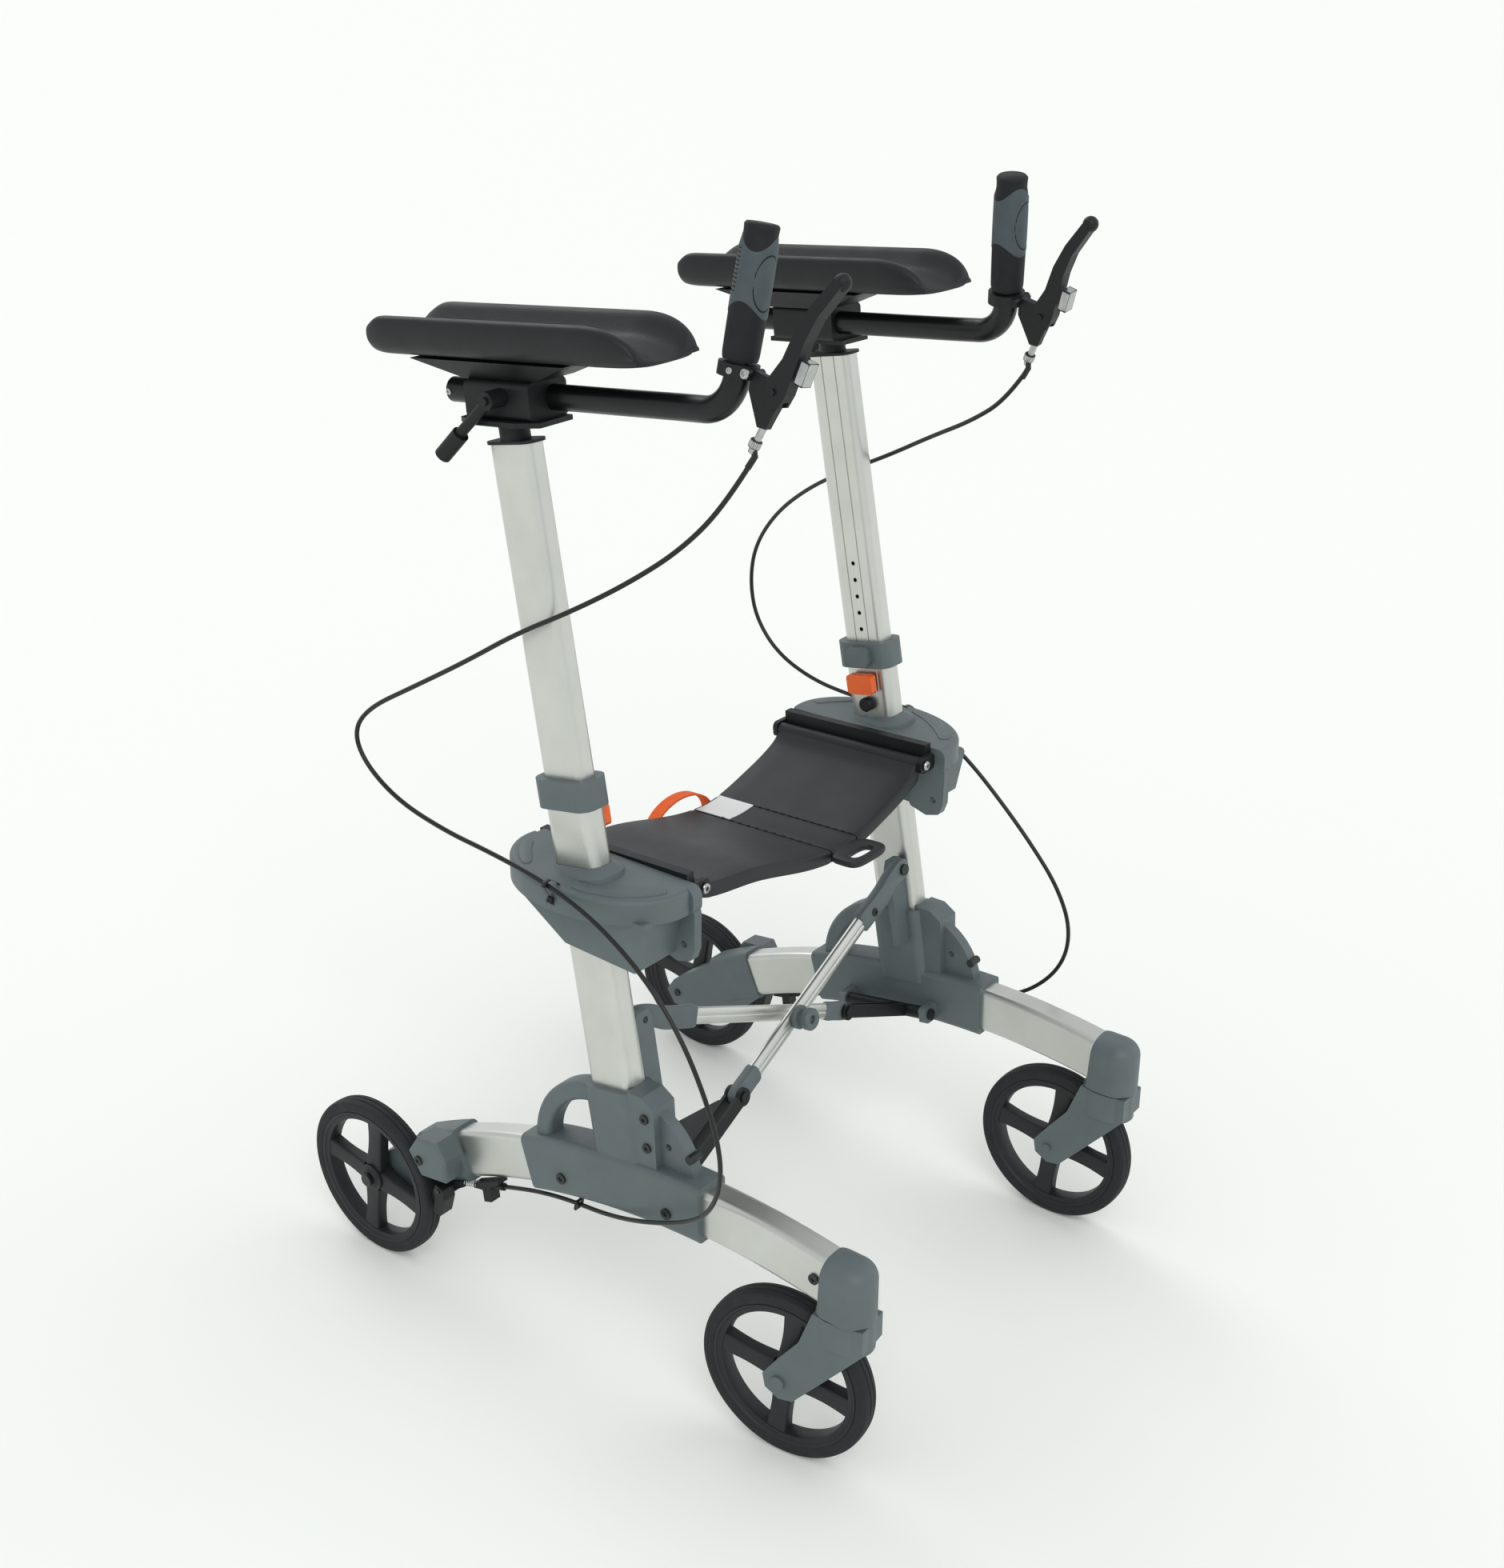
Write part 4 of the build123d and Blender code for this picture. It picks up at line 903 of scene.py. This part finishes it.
def handle_shape():
    """Flat pull handle in front of the strip: a ring with soft edges and an oblong opening."""
    rings = []
    centre_y = -SEAT_HALF - 19.5
    for k in range(64):
        angle = tau * k / 64
        c, s = cos(angle), sin(angle)
        square = (abs(c) ** 4 + abs(s) ** 4) ** -0.25
        oblong = (abs(c) ** 3 + abs(s) ** 3) ** (-1 / 3)
        outer = Vector((STRIP_MIDDLE + 32.6 * c * square, centre_y + 20.3 * s * square))
        inner = Vector((STRIP_MIDDLE + 18.5 * c * oblong, centre_y - 3 + 7.6 * s * oblong))
        ring = []
        for across, height in ((0, -2), (0.08, -3.6), (0.25, -4), (0.75, -4), (0.92, -3.4), (1, -1.6),
                               (1, 1.6), (0.92, 3.4), (0.75, 4), (0.25, 4), (0.08, 3.6), (0, 2)):
            flat = inner.lerp(outer, across)
            ring.append(seat_place(flat.x, flat.y, HANDLE_HEIGHT + height))
        rings.append(ring)
    neck = []
    for k in range(7):
        y = -SEAT_HALF - 5 + 3.4 * k
        wide = 22 + 1.6 * k / 6
        neck.append([seat_place(STRIP_MIDDLE + x, y, HANDLE_HEIGHT + z)
                     for x, z in rounded_rect(wide, 4.2 + 0.5 * k / 6, 2.4)])
    return join(loft_round(rings), loft(neck))


def build_seat():
    """Both halves with their hinge barrels, and the strip with the pull handle."""
    for name, shape, body, side, node in (
            ("right_seat_half", panel_shape(-SEAT_EDGE, STRIP[0] - 1.4, 45), "right_seat", None,
             "right_seat_panel"),
            ("right_seat_barrel", barrel_shape(), "right_seat", "right", "right_seat_panel"),
            ("left_seat_half", join(panel_shape(STRIP[1] + 0.8, SEAT_EDGE, 25), barrel_shape()), "left_seat",
             None, "left_seat_panel"),
            ("seat_strip", join(panel_shape(STRIP[0] + 0.4, STRIP[1] - 0.4, 11), handle_shape()), "left_seat",
             None, "seat_centre")):
        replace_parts(make_piece(name, *shape, "seat", body, side=side, smooth=40), node)


def build_seat_teeth():
    """Row of small hinge teeth along the folding line, and the fine hinge line on the far side."""
    for name, x, count, pitch, length, radius in (("near", STRIP[0] - 0.2, 11, 12.4, 5.2, 1.9),
                                                  ("far", STRIP[1] + 0.2, 17, 10.8, 6.4, 0.9)):
        top = seat_top(x) - radius * 0.55
        rings = []
        for t, wide in ((0, 0.5), (0.12, 0.9), (0.3, 1), (0.7, 1), (0.88, 0.9), (1, 0.5)):
            rings.append([seat_place(x + radius * wide * cos(tau * i / 10), -length / 2 + length * t,
                                     top + radius * wide * sin(tau * i / 10)) for i in range(10)])
        step = seat_place(0, pitch, 0) - seat_place(0, 0, 0)
        points, faces = repeated(loft(rings), count, tuple(step * (-(count - 1) / 2 - 0.6)), tuple(step))
        make_piece(f"seat_hinge_teeth_{name}", points, faces, "seat", "left_seat", "plastic_black")


def build_seat_screws():
    """Bright screws through the end cheeks of both seat hinges."""
    start, end = (seat_place(BARREL[0], y, BARREL[1]) for y in (109.4, -109.4))
    facing = Matrix.Rotation(pi / 2, 4, "Z")
    for side in SIDES:
        shape = repeated(move(screw_head(5.7, 3), facing), 2, tuple(start), tuple(end - start), (0, 0, pi))
        steel_piece("seat_screws", shape, "frame", side)


def build_label():
    """Blank white label across the rear end of the strip."""
    low, high = STRIP[0] + 0.6, STRIP[1] - 0.6
    across = [low + (high - low) * k / 12 for k in range(13)]
    rings = []
    for y in (46, 96):
        rings.append([seat_place(x, y, seat_top(x) - 0.5) for x in across]
                     + [seat_place(x, y, seat_top(x) + 0.45) for x in reversed(across)])
    make_piece("seat_label", *loft(rings), "seat", "left_seat", "label")


# ---- brace and brackets

FITTING_LINE = [(13, 0), (9.5, 9.5), (-3, 13.4), (-22, 14.2), (-42, 12), (-62, 11.6), (-90, 13), (-96.5, 11),
                (-97.5, 0), (-96.5, -11), (-90, -13), (-62, -13.8), (-44, -13.6), (-28, -10.8), (-13, -10.4),
                (-1, -13), (9, -9.8)]
FOOT_LINE = [(-336, 10.2), (-350, 11), (-372, 11), (-381, 7.5), (-384, 0), (-381, -7.5), (-372, -11),
             (-350, -11), (-336, -10.2), (-333, 0)]


def brace_tube(half_wide, low, high):
    """Slim extrusion with two lobes side by side."""
    rings = []
    middle = (low + high) / 2
    half_thick = (high - low) / 2 - 0.4
    for x in (-88, -200, -260, -345):
        ring = []
        for i in range(48):
            angle = tau * i / 48
            y = half_wide * cos(angle)
            waist = 1 - 0.2 * max(0.0, 1 - abs(y) / 3) ** 2
            height = half_thick * abs(sin(angle)) ** 0.75 * waist * (1 if sin(angle) >= 0 else -1)
            ring.append(BRACE @ (Vector((x, y, middle + height)) * MM))
        rings.append(ring)
    return loft(rings)


def build_brace():
    """Two diagonals: alu extrusions in moulded end fittings, and the knob on the front one."""
    for name, side, low, high, wide in (("front", None, 21, 33, 10.4), ("rear", "right", 1, 10.5, 9.6)):
        body = f"brace_arm_{name}"
        tube = make_piece(f"{body}_tube", *brace_tube(wide, low, high), "alu", body, side=side)
        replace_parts(tube, body)
        fitting = join(moulded_plate(smooth_loop(FITTING_LINE), low, high, 2.2),
                       moulded_plate(smooth_loop(FOOT_LINE), low, high, 1.8))
        piece = make_piece(f"{body}_fittings", *move(fitting, BRACE), "alu", body, "plastic_grey", side)
        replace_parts(piece, body)
        face, way = (high - 0.6, 10) if name == "front" else (low + 0.6, -10)
        bolt = move(screw_head(5.2, 2.4), BRACE @ aimed((-72, -3, face), (-72, -3, face + way)))
        make_piece(f"{body}_screws", *bolt, "alu", body, "black_screws", side)
    knob = [(32.5, 0.01), (32.5, 13.2), (33.4, 14), (37.6, 14), (38.6, 13), (39.4, 9.4), (44.6, 9.4),
            (45.8, 12.2), (47, 13), (53, 13), (54.6, 11.6), (54.6, 6), (53.6, 5), (50, 4.6), (50, 0.01)]
    place = BRACE @ Matrix.Translation(Vector((-249, 0, 0)) * MM) @ Matrix.Rotation(-pi / 2, 4, "Y")
    shape = lathe([(x * MM, r * MM) for x, r in knob], 48)
    make_piece("brace_knob", *move(shape, place), "alu", "brace_arm_front", "plastic_grey")


TIE_BANDS = {
    "right": [(305, 592.6), (311, 598), (319, 603.4), (326, 602.6), (327.6, 597), (323, 589), (317.4, 582),
              (316.6, 574)],
    "left": [(306, 593.4), (315, 592.6), (322, 588), (327.4, 581), (327.8, 573), (323, 567.6), (314, 565.2),
             (306, 565)],
}


def build_bracket_trim(side):
    """Bezel round the upright, raised lenses on the wing, the latch knob and the cable tie."""
    levels = []
    for height, grow in ((241, 13), (250, 11.5), (254, 8), (257, 4), (258.6, 1.6), (258.4, 0.3), (241, 0.3)):
        ring = rounded_rect(15.5 + grow, 30.5 + grow, 11 + grow * 0.8, 6)
        levels.append([POST @ (Vector((x, y, height)) * MM) for x, y in ring])
    bezel = loft_round([list(section) for section in zip(*levels)])
    lens = [(255, -127), (269, -119.5), (284, -105), (296, -86), (303.5, -62), (304, -44), (297, -46),
            (288, -66), (274, -88), (257, -108), (248, -118)]
    rear = [(255, 71), (269, 63.5), (284, 49), (294, 34), (288, 28), (276, 38), (262, 52), (250, 62)]
    lenses = [moulded_plate(smooth_loop(line), 590, 594.4, 1.4) for line in (lens, rear)]
    make_piece(f"{side}_bracket_trim", *join(bezel, *lenses), "plastic_grey", f"{side}_frame", side=side)
    knob = lathe([(x * MM, r * MM) for x, r in ((0, 0.01), (0, 6), (3, 6.4), (4, 8.6), (8.4, 8.6), (9.6, 7.4),
                                                (9.6, 0.01))], 36)
    make_piece(f"{side}_latch_knob", *move(knob, POST @ aimed((-16, 0, 275), (-30, 0, 275))), "plastic_black",
               f"{side}_frame", side=side)
    rings = []
    for x, z in TIE_BANDS[side]:
        rings.append([Vector((x + a * 0.6, -28 + b, z + a * 0.6)) * MM
                      for a, b in rounded_rect(1.2, 2.4, 0.5, 2)])
    head = moulded_plate([Vector(p) for p in rounded_rect(3, 3.4, 0.8)], -2.2, 2.2, 0.7)
    head = move(head, Matrix.Translation(Vector((319, -28, 580)) * MM) @ Matrix.Rotation(radians(60), 4, "Y"))
    make_piece(f"{side}_cable_tie", *join(loft(rings), head), "cable_black", f"{side}_frame", side=side)


# ---- carried-over parts

def dress_frame():
    """Give every shown CAD node its finish."""
    for row in frame["record"]["subparts"]:
        node = frame["nodes"][row["node"]]
        node.data.materials.clear()
        node.data.materials.append(finish_of(row["material_slot"]))


# ---- properties

class RollatorSizes(bpy.types.PropertyGroup):
    """Sizes that a user would change."""
    tyre_radius: bpy.props.FloatProperty(
        name="Tyre radius", description="Outer radius of all four wheels", default=0.1, unit="LENGTH")
    tyre_width: bpy.props.FloatProperty(
        name="Tyre width", description="Width across the tyre", default=0.024, unit="LENGTH")
    tyre_depth: bpy.props.FloatProperty(
        name="Tyre depth", description="Thickness of the tyre over the rim", default=0.015, unit="LENGTH")
    spokes: bpy.props.IntProperty(name="Spokes", description="Broad spokes in each wheel", default=4)
    cable_radius: bpy.props.FloatProperty(
        name="Cable radius", description="Radius of the brake cables' jacket", default=0.0025, unit="LENGTH")


class RollatorStage(bpy.types.PropertyGroup):
    """Floor, light and lens."""
    backdrop: bpy.props.FloatVectorProperty(
        name="Backdrop", description="Colour of the floor and the surround", subtype="COLOR", size=4,
        min=0, max=1, default=linear("F7F9F4"))
    lens: bpy.props.FloatProperty(name="Lens", description="Focal length", default=46.11, unit="CAMERA")
    key_power: bpy.props.FloatProperty(
        name="Key light", description="Strength of the main light", default=0.8)


# ---- operators

CAMERA_PLACE = (-1.5967, -1.3026, 1.5040)
CAMERA_TURN = (66.05, 0, -51.51)
SENSOR_WIDTH = 36
FLOOR_HALF = 90
SKY_COLOUR, SKY_STRENGTH = "F6F8FA", 0.8
LAMP_TARGET = (0, 0, 0.6)
LAMPS = (("key", (-2.2, -2.4, 3.6), 35, 1), ("fill", (2.6, -2.2, 2.4), 50, 0.35),
         ("rim", (1.2, 2.8, 3.0), 30, 0.5))

class BuildStage(bpy.types.Operator):
    """Pale floor, soft studio lights and the camera"""
    bl_idname = "rollator.build_stage"
    bl_label = "Stage"

    def execute(self, context):
        look = context.scene.rollator_stage
        camera = bpy.data.objects.new("camera", bpy.data.cameras.new("camera"))
        context.scene.collection.objects.link(camera)
        camera.location = CAMERA_PLACE
        camera.rotation_euler = [radians(angle) for angle in CAMERA_TURN]
        camera.data.lens = look.lens
        camera.data.sensor_width = SENSOR_WIDTH
        context.scene.camera = camera
        corners = [(x * FLOOR_HALF, y * FLOOR_HALF, 0) for x, y in ((-1, -1), (1, -1), (1, 1), (-1, 1))]
        mesh = bpy.data.meshes.new("floor")
        mesh.from_pydata(corners, [], [(0, 1, 2, 3)])
        floor = bpy.data.objects.new("floor", mesh)
        context.scene.collection.objects.link(floor)
        material, _, shader, _ = start_material("matt_paper_floor", 0.9)
        shader.inputs["Base Color"].default_value = look.backdrop
        mesh.materials.append(material)
        world = bpy.data.worlds.new("surround")
        world.use_nodes = True
        tree = world.node_tree
        soft = tree.nodes["Background"]
        soft.inputs["Color"].default_value = linear(SKY_COLOUR)
        soft.inputs["Strength"].default_value = SKY_STRENGTH
        seen = add_node(tree, "ShaderNodeBackground", {0: look.backdrop})
        rays = add_node(tree, "ShaderNodeLightPath")
        both = add_node(tree, "ShaderNodeMixShader", None,
                        {0: rays.outputs["Is Camera Ray"], 1: soft.outputs[0], 2: seen.outputs[0]})
        tree.links.new(both.outputs[0], tree.nodes["World Output"].inputs["Surface"])
        context.scene.world = world
        for name, place, spread, share in LAMPS:
            data = bpy.data.lights.new(name, "SUN")
            data.angle = radians(spread)
            data.energy = look.key_power * share
            lamp = bpy.data.objects.new(name, data)
            lamp.location = place
            towards = Vector(LAMP_TARGET) - Vector(place)
            lamp.rotation_euler = towards.to_track_quat("-Z", "Y").to_euler()
            context.scene.collection.objects.link(lamp)
        context.scene.view_settings.view_transform = "Standard"
        return {"FINISHED"}


class DressFrame(bpy.types.Operator):
    """Finishes for the frame, brace, brackets and levers"""
    bl_idname = "rollator.dress_frame"
    bl_label = "Frame finishes"

    def execute(self, context):
        dress_frame()
        return {"FINISHED"}


class BuildWheels(bpy.types.Operator):
    """Tyres, rims and broad spokes of the four wheels"""
    bl_idname = "rollator.build_wheels"
    bl_label = "Wheels"

    def execute(self, context):
        for side in SIDES:
            for end in ("rear", "front"):
                build_wheel(f"{side}_{end}_wheel", f"{side}_{end}_roll", context.scene.rollator_sizes)
        return {"FINISHED"}


class BuildPads(bpy.types.Operator):
    """Moulded forearm troughs"""
    bl_idname = "rollator.build_pads"
    bl_label = "Forearm pads"

    def execute(self, context):
        for side in SIDES:
            build_pad(side)
        return {"FINISHED"}


class BuildGrips(bpy.types.Operator):
    """Shaped hand grips with their overlays"""
    bl_idname = "rollator.build_grips"
    bl_label = "Grips"

    def execute(self, context):
        for side in SIDES:
            build_grip(side)
            build_brake_fittings(side)
        return {"FINISHED"}


class BuildCables(bpy.types.Operator):
    """Brake cables and the return springs"""
    bl_idname = "rollator.build_cables"
    bl_label = "Brake cables"

    def execute(self, context):
        for side in SIDES:
            build_cable(side, context.scene.rollator_sizes.cable_radius)
            build_spring(side)
        return {"FINISHED"}


class BuildSeat(bpy.types.Operator):
    """Seat halves, the strip with its handle, and the blank label"""
    bl_idname = "rollator.build_seat"
    bl_label = "Seat"

    def execute(self, context):
        build_seat()
        build_seat_teeth()
        build_seat_screws()
        build_label()
        return {"FINISHED"}


class BuildBrace(bpy.types.Operator):
    """Diagonals of the folding brace"""
    bl_idname = "rollator.build_brace"
    bl_label = "Folding brace"

    def execute(self, context):
        build_brace()
        return {"FINISHED"}


class BuildTrim(bpy.types.Operator):
    """Bezels, latch knobs and cable ties on the seat brackets"""
    bl_idname = "rollator.build_trim"
    bl_label = "Bracket trim"

    def execute(self, context):
        for side in SIDES:
            build_bracket_trim(side)
        return {"FINISHED"}


OPERATORS = (BuildStage, DressFrame, BuildWheels, BuildPads, BuildGrips, BuildCables, BuildSeat,
             BuildBrace, BuildTrim)


class RollatorPanel(bpy.types.Panel):
    """Lists the rollator's operators and sizes"""
    bl_idname = "VIEW3D_PT_rollator"
    bl_label = "Rollator"
    bl_space_type = "VIEW_3D"
    bl_region_type = "UI"
    bl_category = "Rollator"

    def draw(self, context):
        for name in RollatorSizes.__annotations__:
            self.layout.prop(context.scene.rollator_sizes, name)
        for operator in OPERATORS:
            self.layout.operator(operator.bl_idname)


CLASSES = (RollatorSizes, RollatorStage) + OPERATORS + (RollatorPanel,)


def register():
    for each in CLASSES:
        bpy.utils.register_class(each)
    bpy.types.Scene.rollator_sizes = bpy.props.PointerProperty(type=RollatorSizes)
    bpy.types.Scene.rollator_stage = bpy.props.PointerProperty(type=RollatorStage)


def unregister():
    del bpy.types.Scene.rollator_stage
    del bpy.types.Scene.rollator_sizes
    for each in reversed(CLASSES):
        bpy.utils.unregister_class(each)


def main():
    register()
    bpy.ops.rollator.build_stage()
    bpy.ops.rollator.dress_frame()
    bpy.ops.rollator.build_wheels()
    bpy.ops.rollator.build_pads()
    bpy.ops.rollator.build_grips()
    bpy.ops.rollator.build_cables()
    bpy.ops.rollator.build_seat()
    bpy.ops.rollator.build_brace()
    bpy.ops.rollator.build_trim()


if __name__ == "__main__":
    main()
